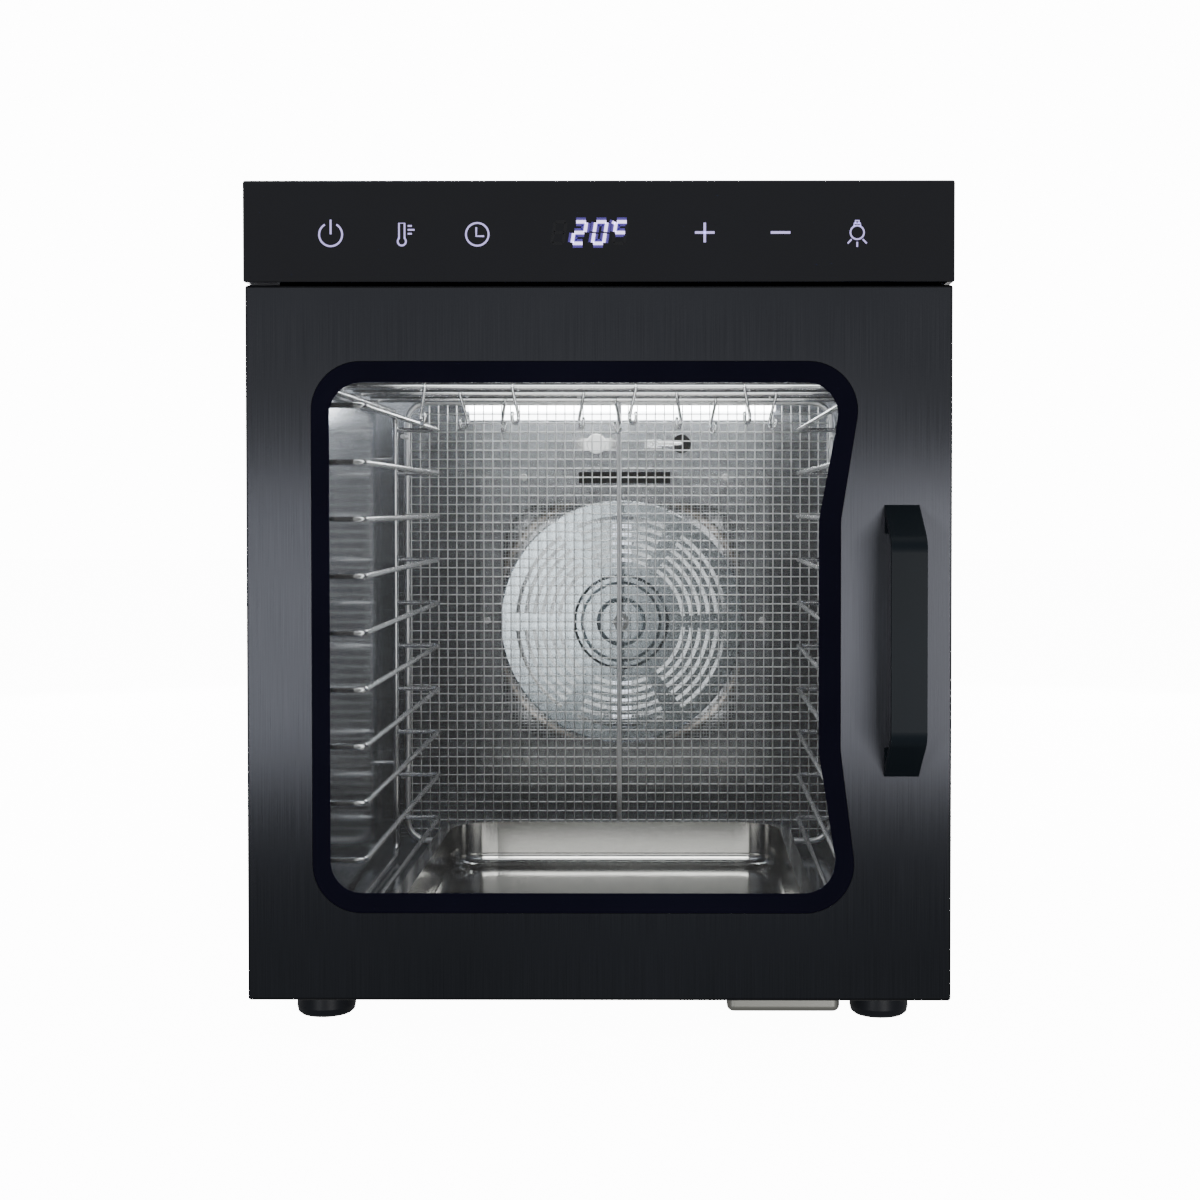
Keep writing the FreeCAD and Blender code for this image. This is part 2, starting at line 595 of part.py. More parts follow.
def fan_screen():
    """Fine mesh over the fan opening, behind the shroud's face, as a thin perforated sheet."""
    y0 = SHROUD_FACE + 1.0
    sheet = fan_opening(y0, y0 + 0.8, grow=6.0)
    bars = []
    half = FAN_OPENING_HALF + 0.5
    for i in range(-10, 11):
        at = i * 7.5
        reach = half
        if abs(at) > half - FAN_OPENING_CORNER:
            beyond = abs(at) - (half - FAN_OPENING_CORNER)
            reach = half - FAN_OPENING_CORNER + math.sqrt(FAN_OPENING_CORNER ** 2 - beyond ** 2)
        bars.append((at, reach))
    holes = fan_opening(y0 - 1, y0 + 2, grow=0.0)
    rim = sheet.cut(holes)
    pieces = [rim]
    for at, reach in bars:
        pieces.append(box(FAN_X + at - 0.4, FAN_X + at + 0.4, y0, y0 + 0.4,
                          FAN_Z - reach, FAN_Z + reach))
        pieces.append(box(FAN_X - reach, FAN_X + reach, y0 + 0.3, y0 + 0.8,
                          FAN_Z + at - 0.4, FAN_Z + at + 0.4))
    stud_hole = rod(STUD_RADIUS + 0.3, (FAN_X, y0 - 1, FAN_Z), (FAN_X, y0 + 2, FAN_Z))
    save("fan_screen", fuse(pieces).cut(stud_hole))


def diffuser_disc():
    """Pressed disc in front of the fan: a raised ring, a hub and six fields of arc slots."""
    profile = [(0.0, -DISC_HUB_RISE), (14.0, -DISC_HUB_RISE), (17.0, 0.0), (26.0, 0.0),
               (28.0, -2.5), (31.0, -2.5), (33.0, 0.0), (DISC_RADIUS - 1.0, 0.0),
               (DISC_RADIUS, 0.8)]
    front = [Vector(FAN_X + r, DISC_Y + y, FAN_Z) for r, y in profile]
    back = [point + Vector(0, DISC_SHEET, 0) for point in reversed(front)]
    section = Part.Face(Part.makePolygon(front + back + [front[0]]))
    disc = section.revolve(Vector(FAN_X, 0, FAN_Z), Vector(0, 1, 0), 360)
    stud_hole = rod(STUD_RADIUS, (FAN_X, DISC_Y - 9.0, FAN_Z), (FAN_X, DISC_Y + 9.0, FAN_Z))
    slots = [stud_hole]
    for row in range(DISC_ROWS):
        radius = DISC_FIRST_ROW + row * DISC_ROW_PITCH
        span = DISC_SECTOR_SPAN
        ring = Part.makeCylinder(radius + DISC_SLOT / 2, 4.0, Vector(0, 0, 0), Vector(0, 0, 1), span)
        core = Part.makeCylinder(radius - DISC_SLOT / 2, 4.0, Vector(0, 0, 0), Vector(0, 0, 1), span)
        arc = ring.cut(core)
        for sector in range(DISC_SECTORS):
            slot = arc.copy()
            middle = 90.0 + sector * 360.0 / DISC_SECTORS
            slot.rotate(Vector(0, 0, 0), Vector(0, 0, 1), middle - span / 2)
            slot.rotate(Vector(0, 0, 0), Vector(1, 0, 0), 90)
            slot.translate(Vector(FAN_X, DISC_Y + 3.0, FAN_Z))
            slots.append(slot)
    save("diffuser_disc", disc.cut(Part.makeCompound(slots)))


def diffuser_mount():
    """Strap across the fan opening with a stud through the screen, and the disc's cap nut."""
    strap = box(FAN_X - 7.0, FAN_X + 7.0, STRAP_FRONT, STRAP_FRONT + 1.2,
                FAN_Z - FAN_OPENING_HALF - 9.0, FAN_Z + FAN_OPENING_HALF + 9.0)
    hub_back = DISC_Y + DISC_SHEET - DISC_HUB_RISE
    stud_front = hub_back - DISC_SHEET - NUT_THICK - 0.4
    stud = rod(STUD_RADIUS, (FAN_X, stud_front, FAN_Z), (FAN_X, STRAP_FRONT, FAN_Z))
    spacer = rod(6.0, (FAN_X, hub_back, FAN_Z), (FAN_X, SHROUD_FACE - 1.0, FAN_Z))
    ends = []
    for z in (FAN_Z - FAN_OPENING_HALF - 9.0, FAN_Z + FAN_OPENING_HALF + 6.0):
        ends.append(box(FAN_X - 7.0, FAN_X + 7.0, SHROUD_FACE + SHEET, STRAP_FRONT, z, z + 3.0))
    save("diffuser_strap", fuse([strap, stud, spacer] + ends))

    nut_front = hub_back - DISC_SHEET - NUT_THICK
    corners = [Vector(FAN_X + 6.0 * math.cos(math.radians(a)), nut_front,
                      FAN_Z + 6.0 * math.sin(math.radians(a))) for a in range(0, 361, 60)]
    nut = Part.Face(Part.makePolygon(corners)).extrude(Vector(0, NUT_THICK, 0))
    dome = Part.makeSphere(NUT_DOME, Vector(FAN_X, nut_front, FAN_Z))
    dome = dome.cut(box(FAN_X - 9, FAN_X + 9, nut_front + 0.1, nut_front + 9, FAN_Z - 9, FAN_Z + 9))
    thread = rod(STUD_RADIUS, (FAN_X, nut_front - 0.4, FAN_Z), (FAN_X, nut_front + 9.0, FAN_Z))
    save("diffuser_nut", fuse([nut, dome]).cut(thread))


def fan_drive():
    """Plenum pan behind the rear wall, motor, shaft and fan wheel."""
    axis = Vector(0, 1, 0)
    centre = Vector(FAN_X, 0, FAN_Z)
    half = WALL_HOLE_RADIUS + 8.0
    y0 = CHAMBER_BACK + LINER
    outer = rounded_box(FAN_X - half, FAN_X + half, y0, PLENUM_BACK, FAN_Z - half, FAN_Z + half, 10.0)
    inner = rounded_box(FAN_X - half + 1, FAN_X + half - 1, y0 - 1, PLENUM_BACK - 1.2,
                        FAN_Z - half + 1, FAN_Z + half - 1, 9.0)
    bore = Part.makeCylinder(9.0, 10.0, centre + axis * (PLENUM_BACK - 5.0), axis)
    save("fan_plenum", outer.cut([inner, bore]))

    can = Part.makeCylinder(34.0, MOTOR_BACK - PLENUM_BACK, centre + axis * PLENUM_BACK, axis)
    can = can.makeFillet(3.0, [can.Edges[0]])
    ears = box(FAN_X - 46.0, FAN_X + 46.0, PLENUM_BACK, PLENUM_BACK + 2.0, FAN_Z - 7.0, FAN_Z + 7.0)
    hole = Part.makeCylinder(SHAFT_RADIUS + SHAFT_CLEARANCE, 22.0,
                             centre + axis * (PLENUM_BACK - 1.0), axis)
    save("fan_motor", fuse([can, ears]).cut(hole))

    shaft = Part.makeCylinder(SHAFT_RADIUS, PLENUM_BACK + 20.0 - SHAFT_FRONT,
                              centre + axis * SHAFT_FRONT, axis)
    save("motor_shaft", shaft)

    disc = Part.makeCylinder(WHEEL_RADIUS, 1.0, centre + axis * (WHEEL_BACK - 1.0), axis)
    hub = Part.makeCylinder(HUB_RADIUS, WHEEL_BACK - WHEEL_BLADE_FRONT,
                            centre + axis * WHEEL_BLADE_FRONT, axis)
    pieces = [disc, hub]
    for i in range(WHEEL_BLADES):
        blade = box(32.0, WHEEL_RADIUS - 1.0, WHEEL_BLADE_FRONT, WHEEL_BACK - 0.5, -0.5, 0.5)
        blade.rotate(Vector(32.0, 0, 0), axis, 22.0)
        blade.rotate(Vector(0, 0, 0), axis, i * 360.0 / WHEEL_BLADES)
        blade.translate(centre)
        pieces.append(blade.common(Part.makeCylinder(WHEEL_RADIUS, 60.0, centre + axis * 160.0, axis)))
    wheel_bore = Part.makeCylinder(SHAFT_RADIUS, 60.0, centre + axis * 160.0, axis)
    save("fan_wheel", fuse(pieces).cut(wheel_bore))


def heating_element():
    """Ring-shaped tubular heater around the fan wheel, with two terminals through the wall."""
    ring = Part.makeTorus(HEATER_RING, HEATER_TUBE, Vector(FAN_X, HEATER_Y, FAN_Z), Vector(0, 1, 0))
    pieces = [ring]
    for x in (-12.0, 12.0):
        z = FAN_Z + math.sqrt(HEATER_RING ** 2 - x * x)
        pieces.append(rod(HEATER_TUBE * 0.75, (FAN_X + x, HEATER_Y, z), (FAN_X + x, CHAMBER_BACK, z)))
    save("heating_element", fuse(pieces))


# ---- sensors, lamp ------------------------------------------------------------------------
def sensors():
    """Snap-disc thermostat with two ears, and a probe whose lead goes through a hole."""
    y = CHAMBER_BACK
    dome = Part.makeCylinder(7.0, 6.0, Vector(THERMOSTAT_X, y - 7.0, SENSOR_Z), Vector(0, 1, 0))
    dome = dome.makeFillet(1.2, [dome.Edges[2]])
    ear = rounded_box(THERMOSTAT_X - 15.0, THERMOSTAT_X + 15.0, y - 1.0, y,
                      SENSOR_Z - 4.0, SENSOR_Z + 4.0, 3.9)
    screws = [pan_head_screw((THERMOSTAT_X + dx, y - 1.0, SENSOR_Z), (0, -1, 0), 2.4, 1.4, 1.2, 0.9)
              for dx in (-11.3, 11.3)]
    save("thermostat", fuse([dome, ear] + screws))

    probe_y = y - 4.5
    tube = rod(2.2, (PROBE_X0, probe_y, SENSOR_Z), (PROBE_X1, probe_y, SENSOR_Z))
    lead = bent_wire([(PROBE_X1 - 1.0, probe_y, SENSOR_Z), (PROBE_HOLE_X, probe_y, SENSOR_Z),
                      (PROBE_HOLE_X, y + 4.0, SENSOR_Z)], 1.3, 2.5)
    clip = box(PROBE_X0 - 9.0, PROBE_X0 + 3.0, probe_y + 2.0, y, SENSOR_Z - 3.0, SENSOR_Z + 3.0)
    screw = pan_head_screw((PROBE_X0 - 5.5, probe_y + 2.0, SENSOR_Z), (0, -1, 0), 2.8, 1.6, 1.2, 1.0)
    save("temperature_probe", fuse([tube, lead, clip, screw]))


def lamp():
    """Lamp bar below the ceiling of the rear wall: a steel channel and a frosted tube."""
    channel = box(-112.0, 112.0, CHAMBER_BACK - 6.0, CHAMBER_BACK, LAMP_Z - 7.0, LAMP_Z + 7.0)
    save("lamp_holder", channel)
    tube = rounded_box(-108.5, 108.5, CHAMBER_BACK - 12.0, CHAMBER_BACK - 6.0,
                       LAMP_Z - 4.2, LAMP_Z + 4.2, 2.0, Vector(1, 0, 0))
    save("lamp_tube", tube)


# ---- door ---------------------------------------------------------------------------------
def window_prism(y0, y1, grow):
    """The window's outline, grown or shrunk, as a prism along Y."""
    points = [(GLASS_LEFT - grow, GLASS_BOTTOM - grow), (GLASS_LEFT - grow, GLASS_TOP + grow),
              (GLASS_RIGHT_TOP + grow, GLASS_TOP + grow), (GLASS_RIGHT_WAIST + grow, WAIST_HIGH),
              (GLASS_RIGHT_WAIST + grow, WAIST_LOW), (GLASS_RIGHT_BOTTOM + grow, GLASS_BOTTOM - grow)]
    corner = GLASS_CORNER + grow
    radii = [corner, corner, corner, WAIST_BEND - grow, WAIST_BEND - grow, corner]
    face = outline_face([Vector(x, y0, z) for x, z in points], radii)
    return face.extrude(Vector(0, y1 - y0, 0))


def door_skin():
    """Brushed steel skin folded back on all four edges, with the window cut out."""
    outer = box(-HALF_WIDTH, HALF_WIDTH, DOOR_FACE, DOOR_BACK, BASE, DOOR_TOP)
    outer = outer.makeFillet(DOOR_FOLD, [e for e in outer.Edges if e.CenterOfMass.y < DOOR_BACK - 1])
    inner = box(-HALF_WIDTH + SHEET, HALF_WIDTH - SHEET, DOOR_FACE + SHEET, DOOR_BACK + 1,
                BASE + SHEET, DOOR_TOP - SHEET)
    inner = inner.makeFillet(0.5, [e for e in inner.Edges if e.CenterOfMass.y < DOOR_BACK])
    pin_holes = rod(PIN_HOLE_IN_SKIN, (HINGE_X, HINGE_Y, BASE - 1), (HINGE_X, HINGE_Y, DOOR_TOP + 1))
    screw_holes = [rod(2.6, (HANDLE_X, DOOR_FACE - 1, z), (HANDLE_X, DOOR_FACE + 3, z))
                   for z in HANDLE_SCREW_Z]
    window = window_prism(DOOR_FACE - 1, DOOR_FACE + 3, 0.2)
    save("door_skin", outer.cut([inner, pin_holes, window] + screw_holes))


def door_inner_pan():
    """Inner sheet of the door with a collar that reaches forward to the glass."""
    side = HALF_WIDTH - SHEET - 0.1
    plate = box(-side, side, DOOR_BACK - SHEET, DOOR_BACK, BASE + SHEET + 0.1, DOOR_TOP - SHEET - 0.1)
    collar = window_prism(GLASS_BACK, DOOR_BACK - SHEET, -2.0)
    hole = window_prism(GLASS_BACK - 1, DOOR_BACK + 1, -3.0)
    save("door_inner_pan", fuse([plate, collar]).cut(hole))


def door_glass():
    save("window_glass", window_prism(GLASS_FRONT, GLASS_BACK, 0.0))


def door_seal():
    """Silicone seal around the chamber opening, on the door's inner sheet."""
    half = CHAMBER_HALF + 1.0
    y0, y1 = DOOR_BACK, CABINET_FRONT - SEAL_GAP
    outer = rounded_box(-half - SEAL_WIDTH, half + SEAL_WIDTH, y0, y1,
                        CHAMBER_FLOOR - SEAL_WIDTH, CHAMBER_TOP + SEAL_WIDTH, 8.0)
    inner = rounded_box(-half, half, y0 - 1, y1 + 1, CHAMBER_FLOOR, CHAMBER_TOP, 4.0)
    save("door_seal", outer.cut(inner))


def door_handle():
    """Flat strap with sloping legs and rounded bends, and the screws behind it."""
    def strap_line(depth):
        lift = depth * 0.55
        return [(DOOR_FACE, HANDLE_FOOT_LOW + 2 * lift), (HANDLE_FRONT + depth, HANDLE_BAR_LOW + lift),
                (HANDLE_FRONT + depth, HANDLE_BAR_HIGH - lift), (DOOR_FACE, HANDLE_FOOT_HIGH - 2 * lift)]
    outer = strap_line(0.0)
    inner = strap_line(HANDLE_THICK)
    x0 = HANDLE_X - HANDLE_WIDTH / 2
    loop = [Vector(x0, y, z) for y, z in outer + inner[::-1]]
    strap = Part.Face(Part.makePolygon(loop + [loop[0]])).extrude(Vector(HANDLE_WIDTH, 0, 0))
    bends = [e for e in edges_along(strap, Vector(1, 0, 0)) if e.CenterOfMass.y < DOOR_FACE - 20]
    front_bends = [e for e in bends if e.CenterOfMass.y < HANDLE_FRONT + 1]
    strap = strap.makeFillet(HANDLE_BEND, front_bends)
    back_bends = [e for e in edges_along(strap, Vector(1, 0, 0))
                  if HANDLE_FRONT + 3 < e.CenterOfMass.y < HANDLE_FRONT + 4]
    strap = strap.makeFillet(HANDLE_BEND - HANDLE_THICK, back_bends)
    feet = []
    for z in HANDLE_SCREW_Z:
        feet.append(box(x0, x0 + HANDLE_WIDTH, DOOR_FACE - 3.0, DOOR_FACE, z - 6.0, z + 6.0))
    strap = fuse([strap] + feet)
    save("handle", strap)
    screws = []
    for z in HANDLE_SCREW_Z:
        head = rod(4.0, (HANDLE_X, DOOR_FACE + SHEET, z), (HANDLE_X, DOOR_FACE + SHEET + 2.5, z))
        shank = rod(2.0, (HANDLE_X, DOOR_FACE, z), (HANDLE_X, DOOR_FACE + SHEET, z))
        screws.append(fuse([head, shank]))
    save("handle_screws", *screws)


def hinges():
    """Pivot hinges: a tongue with a pin at the top and the bottom, and leaves in the door."""
    x0, x1 = HINGE_X - 3.0, HINGE_X + 12.0
    y0, y1 = HINGE_Y - 6.0, CABINET_FRONT - 1.5
    leaves = []
    for node, tongue_z, pin_end, leg, leaf_z in (
            ("hinge_upper", (DOOR_TOP + 0.2, DOOR_TOP + 0.2 + TONGUE), DOOR_TOP - 12.0,
             (DOOR_TOP - 28.0, DOOR_TOP + 0.2 + TONGUE), DOOR_TOP - 5.0 - LEAF),
            ("hinge_lower", (BASE - 0.2 - TONGUE, BASE - 0.2), BASE + 12.0,
             (BASE - 0.2 - TONGUE, BASE + 28.0), BASE + 5.0)):
        tongue = box(x0, x1, y0, CABINET_FRONT, *tongue_z)
        plate = box(x0, HINGE_X + 4.5, y1, CABINET_FRONT, *leg)
        pin_start = tongue_z[0] if node == "hinge_lower" else tongue_z[1]
        pin = rod(PIN_RADIUS, (HINGE_X, HINGE_Y, pin_start), (HINGE_X, HINGE_Y, pin_end))
        save(node, fuse([tongue, plate, pin]))
        leaf = box(-HALF_WIDTH + SHEET, HINGE_X + 22.0, DOOR_FACE + SHEET, DOOR_BACK - SHEET,
                   leaf_z, leaf_z + LEAF)
        bore = rod(PIN_RADIUS + PIN_CLEARANCE, (HINGE_X, HINGE_Y, leaf_z - 1),
                   (HINGE_X, HINGE_Y, leaf_z + LEAF + 1))
        leaves.append(leaf.cut(bore))
    save("door_hinge_leaves", *leaves)


def magnet():
    """Magnet in the front frame and the steel striker on the door."""
    save("magnet_catch", box(MAGNET_X0, MAGNET_X1, CABINET_FRONT - 1.0, CABINET_FRONT + 11.0,
                             MAGNET_Z0, MAGNET_Z1))
    save("catch_striker", box(MAGNET_X0, MAGNET_X1, DOOR_BACK, CABINET_FRONT - 1.2,
                              MAGNET_Z0, MAGNET_Z1))


# ---- tray, feet, screws -------------------------------------------------------------------
def drip_tray():
    """Deep-drawn pan with large corner radii and a flat flange; it lies on the floor."""
    z0 = CHAMBER_FLOOR + TRAY_LIFT
    z1 = z0 + TRAY_HEIGHT
    vertical = Vector(0, 0, 1)
    bowl = rounded_box(TRAY_X0 + TRAY_FLANGE, TRAY_X1 - TRAY_FLANGE, TRAY_FRONT + TRAY_FLANGE,
                       TRAY_BACK - TRAY_FLANGE, z0, z1, TRAY_CORNER, vertical)
    bowl = bowl.makeFillet(9.0, [e for e in bowl.Edges if abs(e.CenterOfMass.z - z0) < 0.1])
    t = TRAY_SHEET
    hollow = rounded_box(TRAY_X0 + TRAY_FLANGE + t, TRAY_X1 - TRAY_FLANGE - t,
                         TRAY_FRONT + TRAY_FLANGE + t, TRAY_BACK - TRAY_FLANGE - t,
                         z0 + t, z1 + 1, TRAY_CORNER - t, vertical)
    hollow = hollow.makeFillet(8.0, [e for e in hollow.Edges if abs(e.CenterOfMass.z - z0 - t) < 0.1])
    flange = rounded_box(TRAY_X0, TRAY_X1, TRAY_FRONT, TRAY_BACK, z1 - t, z1,
                         TRAY_CORNER + 6.0, vertical)
    save("drip_tray", fuse([bowl, flange]).cut(hollow))


def feet():
    """Four flared rubber feet with a recess for the screw."""
    solids = []
    screws = []
    for x in (-FOOT_X, FOOT_X):
        for y in FOOT_Y:
            profile = [(0.0, 0.0), (FOOT_RADIUS - 2.0, 0.0), (FOOT_RADIUS - 0.6, 1.2),
                       (FOOT_RADIUS, 4.0), (FOOT_RADIUS - 1.0, BASE), (0.0, BASE)]
            points = [Vector(r, 0, z) for r, z in profile]
            foot = Part.Face(Part.makePolygon(points + [points[0]]))
            foot = foot.revolve(Vector(0, 0, 0), Vector(0, 0, 1), 360)
            foot = foot.cut([Part.makeCylinder(5.0, 6.0), Part.makeCylinder(2.0, BASE)])
            foot.translate(Vector(x, y, 0))
            solids.append(foot)
            head = Part.makeCylinder(4.0, 2.4, Vector(x, y, 3.6))
            shank = Part.makeCylinder(1.95, BASE - 6.0, Vector(x, y, 6.0))
            screws.append(fuse([head, shank]))
    save("rubber_feet", *solids)
    save("foot_screws", *screws)


def screw_groups():
    """Screws that hold the rear panel and the fan shroud."""
    rear = []
    for x, z in BACK_SCREWS:
        rear.append(pan_head_screw((x, CABINET_BACK, z), (0, 1, 0), 3.4, 1.4, SCREW_SHANK, SHEET))
    save("back_panel_screws", *rear)
    front = []
    for x, z in SHROUD_SCREWS:
        front.append(pan_head_screw((x, SHROUD_FACE, z), (0, -1, 0), 2.6, 1.5, SCREW_SHANK, SHEET))
    save("shroud_screws", *front)


# ---- the whole unit ------------------------------------------------------------------------
outer_shell()
base_plate()
back_panel()
front_frame()
chamber()
underside_cover()
control_fascia()
electronics()
rail_rack("rail_rack_left", -1)
rail_rack("rail_rack_right", 1)
hanging_rods()
hooks()
guard_frame()
guard_mesh()
fan_shroud()
fan_screen()
diffuser_disc()
diffuser_mount()
fan_drive()
heating_element()
sensors()
lamp()
door_skin()
door_inner_pan()
door_glass()
door_seal()
door_handle()
hinges()
magnet()
drip_tray()
feet()
screw_groups()
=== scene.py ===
import json
import math

import bmesh
import bpy
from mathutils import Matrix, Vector


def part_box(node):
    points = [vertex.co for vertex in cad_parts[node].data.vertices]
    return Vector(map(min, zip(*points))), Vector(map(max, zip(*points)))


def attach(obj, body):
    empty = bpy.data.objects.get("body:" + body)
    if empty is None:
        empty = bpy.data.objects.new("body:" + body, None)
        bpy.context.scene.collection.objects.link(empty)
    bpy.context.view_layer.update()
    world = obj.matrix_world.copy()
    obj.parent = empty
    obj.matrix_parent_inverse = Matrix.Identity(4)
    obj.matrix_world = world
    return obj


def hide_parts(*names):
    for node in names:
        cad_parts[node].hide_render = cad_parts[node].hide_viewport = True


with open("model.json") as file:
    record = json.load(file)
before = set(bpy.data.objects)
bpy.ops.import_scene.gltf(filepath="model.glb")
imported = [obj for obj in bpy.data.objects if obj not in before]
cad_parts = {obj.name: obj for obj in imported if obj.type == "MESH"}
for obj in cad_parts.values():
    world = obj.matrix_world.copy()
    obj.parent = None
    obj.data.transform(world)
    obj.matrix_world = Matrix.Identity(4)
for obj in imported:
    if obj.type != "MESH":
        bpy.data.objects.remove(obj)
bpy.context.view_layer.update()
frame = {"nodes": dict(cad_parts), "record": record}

MM = 0.001


def corners(node):
    """The low and the high corner of a CAD node's box."""
    return tuple(Vector(corner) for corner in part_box(node))


# ---- places taken from the frame (metres) -------------------------------------------------
FASCIA_FRONT = corners("control_fascia")[0].y
GLASS_FRONT = corners("window_glass")[0].y
BASE = corners("door_skin")[0].z
SCREEN_LOW, SCREEN_HIGH = corners("fan_screen")
LAMP_LOW = corners("lamp_tube")[0]
CHAMBER_TOP = corners("chamber_back_wall")[1].z
DISC_LOW, DISC_HIGH = corners("diffuser_disc")
FAN_CENTRE = (DISC_LOW + DISC_HIGH) / 2
CAP_X = sum(corner[0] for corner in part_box("thermostat")) / 2

# ---- thermostat (metres) ------------------------------------------------------------------
CAP_RADIUS = 8.8 * MM
CAP_EDGE = 0.2 * MM

# ---- window print (millimetres, heights above the door's lower edge) ----------------------
WINDOW = {"left": -131.6, "right_top": 119.8, "waist": 107.4, "right_bottom": 118.3,
          "bottom": 53.0, "top": 302.9}
BORDER = {"left": -140.3, "right_top": 130.3, "waist": 118.0, "right_bottom": 128.0,
          "bottom": 43.3, "top": 313.2}
WAIST_LOW = 123.0
WAIST_HIGH = 236.0
WINDOW_CORNER = 15.6
BORDER_CORNER = 24.0
WAIST_BEND = 30.0
PRINT_FRONT = 0.2
PRINT_BACK = 0.02

# ---- touch symbols (millimetres, heights above the door's lower edge) ---------------------
SYMBOL_Z = 375.5
SYMBOL_LINE = 0.85
SIGN_LINE = 1.2
SYMBOL_LIFT = 0.12
POWER_X, THERMOMETER_X, CLOCK_X = -130.2, -95.6, -58.9
DIGITS_X, PLUS_X, MINUS_X, LAMP_X = 0.6, 51.6, 88.4, 125.6
SIGN_HALF = 4.75

# ---- display digits (millimetres) ---------------------------------------------------------
DIGIT_HALF = (2.7, 5.2)
DIGIT_GAP = 0.35
DIGIT_PITCH = 9.9
DIGIT_SLANT = 0.16
DIGIT_LINE = 1.55
UNLIT_LINE, UNLIT_LIFT = 1.5, 0.04
HALO_NEAR_LINE, HALO_NEAR_LIFT = 2.7, 0.06
HALO_FAR_LINE, HALO_FAR_LIFT = 4.2, 0.03
DEGREE_MARK = ((-3.4, 4.2), (-2.8, 5.4))
# which of top, upper left, upper right, middle, lower left, lower right and bottom are lit
SEGMENTS_TWO = (1, 0, 1, 1, 1, 0, 1)
SEGMENTS_NOUGHT = (1, 1, 1, 0, 1, 1, 1)
SEGMENTS_SMALL_C = (1, 1, 0, 1, 0, 0, 0)
SEGMENTS_EIGHT = (1, 1, 1, 1, 1, 1, 1)

# ---- woven screen in front of the fan (metres) --------------------------------------------
MESH_PITCH = 2.2 * MM
MESH_WIRE = 0.22 * MM
MESH_CORNER = 34 * MM
MESH_CRIMP = 0.17 * MM
MESH_SIDES = 4

# ---- surface relief (metres) --------------------------------------------------------------
METAL_RELIEF = 0.02 * MM
COATING_RELIEF = 0.03 * MM

# ---- stage (metres) and light levels ------------------------------------------------------
BACKDROP = 14.0
SURROUNDINGS = 0.40
FLOOR_HALF = 8.0
FLOOR_DROP = 0.3 * MM
FLOOR_GLOW = 13.0
FLOOR_SEEN = 0.9
FLOOR_UNSEEN = 0.22
PANE_BOUNCES = 2
CARD_Y = -1.30

WHITE = (1.0, 1.0, 1.0)
COOL_WHITE = (0.97, 0.985, 1.0)
WARM_WHITE = (1.0, 0.99, 0.985)
TRAY_WHITE = (1.0, 0.985, 0.95)
DISC_WHITE = (0.90, 0.96, 1.0)
PALE_BLUE = (0.80, 0.90, 1.0)

# ---- camera (metres and degrees, the lens in millimetres) ---------------------------------
CAMERA_PLACE = (0.0346, -1.0974, 0.2589)
CAMERA_DOWN = 1.197
CAMERA_TURN = 0.268
CAMERA_LENS = 54.58
CAMERA_SHIFT = (-0.0510, -0.0452)


# ---- materials ----------------------------------------------------------------------------
def material(name):
    """A new node material: returns it with its tree and its Principled shader."""
    made = bpy.data.materials.new(name)
    made.use_nodes = True
    tree = made.node_tree
    return made, tree, tree.nodes["Principled BSDF"]


def stretched(tree, scale):
    """Object coordinates in metres, stretched by a scale along each axis."""
    coords = tree.nodes.new("ShaderNodeTexCoord")
    mapping = tree.nodes.new("ShaderNodeMapping")
    mapping.inputs["Scale"].default_value = scale
    tree.links.new(coords.outputs["Object"], mapping.inputs["Vector"])
    return mapping.outputs["Vector"]


def noise(tree, scale, detail):
    """Noise in stretched object coordinates."""
    node = tree.nodes.new("ShaderNodeTexNoise")
    node.inputs["Scale"].default_value = 1.0
    node.inputs["Detail"].default_value = detail
    node.inputs["Roughness"].default_value = 0.55
    tree.links.new(stretched(tree, scale), node.inputs["Vector"])
    return node.outputs["Fac"]


def ramp(tree, value, low, high, start=0.3, stop=0.7):
    """A colour or grey between two ends."""
    node = tree.nodes.new("ShaderNodeValToRGB")
    for end, place, shade in zip(node.color_ramp.elements, (start, stop), (low, high)):
        end.position = place
        end.color = (*shade, 1.0) if isinstance(shade, tuple) else (shade, shade, shade, 1.0)
    tree.links.new(value, node.inputs["Fac"])
    return node.outputs["Color"]


def math_node(tree, operation, value, other=None):
    """One math step on a value, with a number or another value where it takes two."""
    node = tree.nodes.new("ShaderNodeMath")
    node.operation = operation
    tree.links.new(value, node.inputs[0])
    if isinstance(other, float):
        node.inputs[1].default_value = other
    elif other is not None:
        tree.links.new(other, node.inputs[1])
    return node.outputs["Value"]


def multiply(tree, first, second):
    """The product of two colours."""
    node = tree.nodes.new("ShaderNodeMix")
    node.data_type = "RGBA"
    node.blend_type = "MULTIPLY"
    node.inputs["Factor"].default_value = 1.0
    tree.links.new(first, node.inputs["A"])
    tree.links.new(second, node.inputs["B"])
    return node.outputs["Result"]


def bump(tree, shader, height, strength, distance):
    """Fine relief in the shader's normal."""
    node = tree.nodes.new("ShaderNodeBump")
    node.inputs["Strength"].default_value = strength
    node.inputs["Distance"].default_value = distance
    tree.links.new(height, node.inputs["Height"])
    tree.links.new(node.outputs["Normal"], shader.inputs["Normal"])


def dark_and_light(colour, change):
    """A colour made darker and lighter by the same share, the lighter one clipped at white."""
    dark = tuple(c * (1.0 - change) for c in colour)
    return dark, tuple(min(1.0, c * (1.0 + change)) for c in colour)


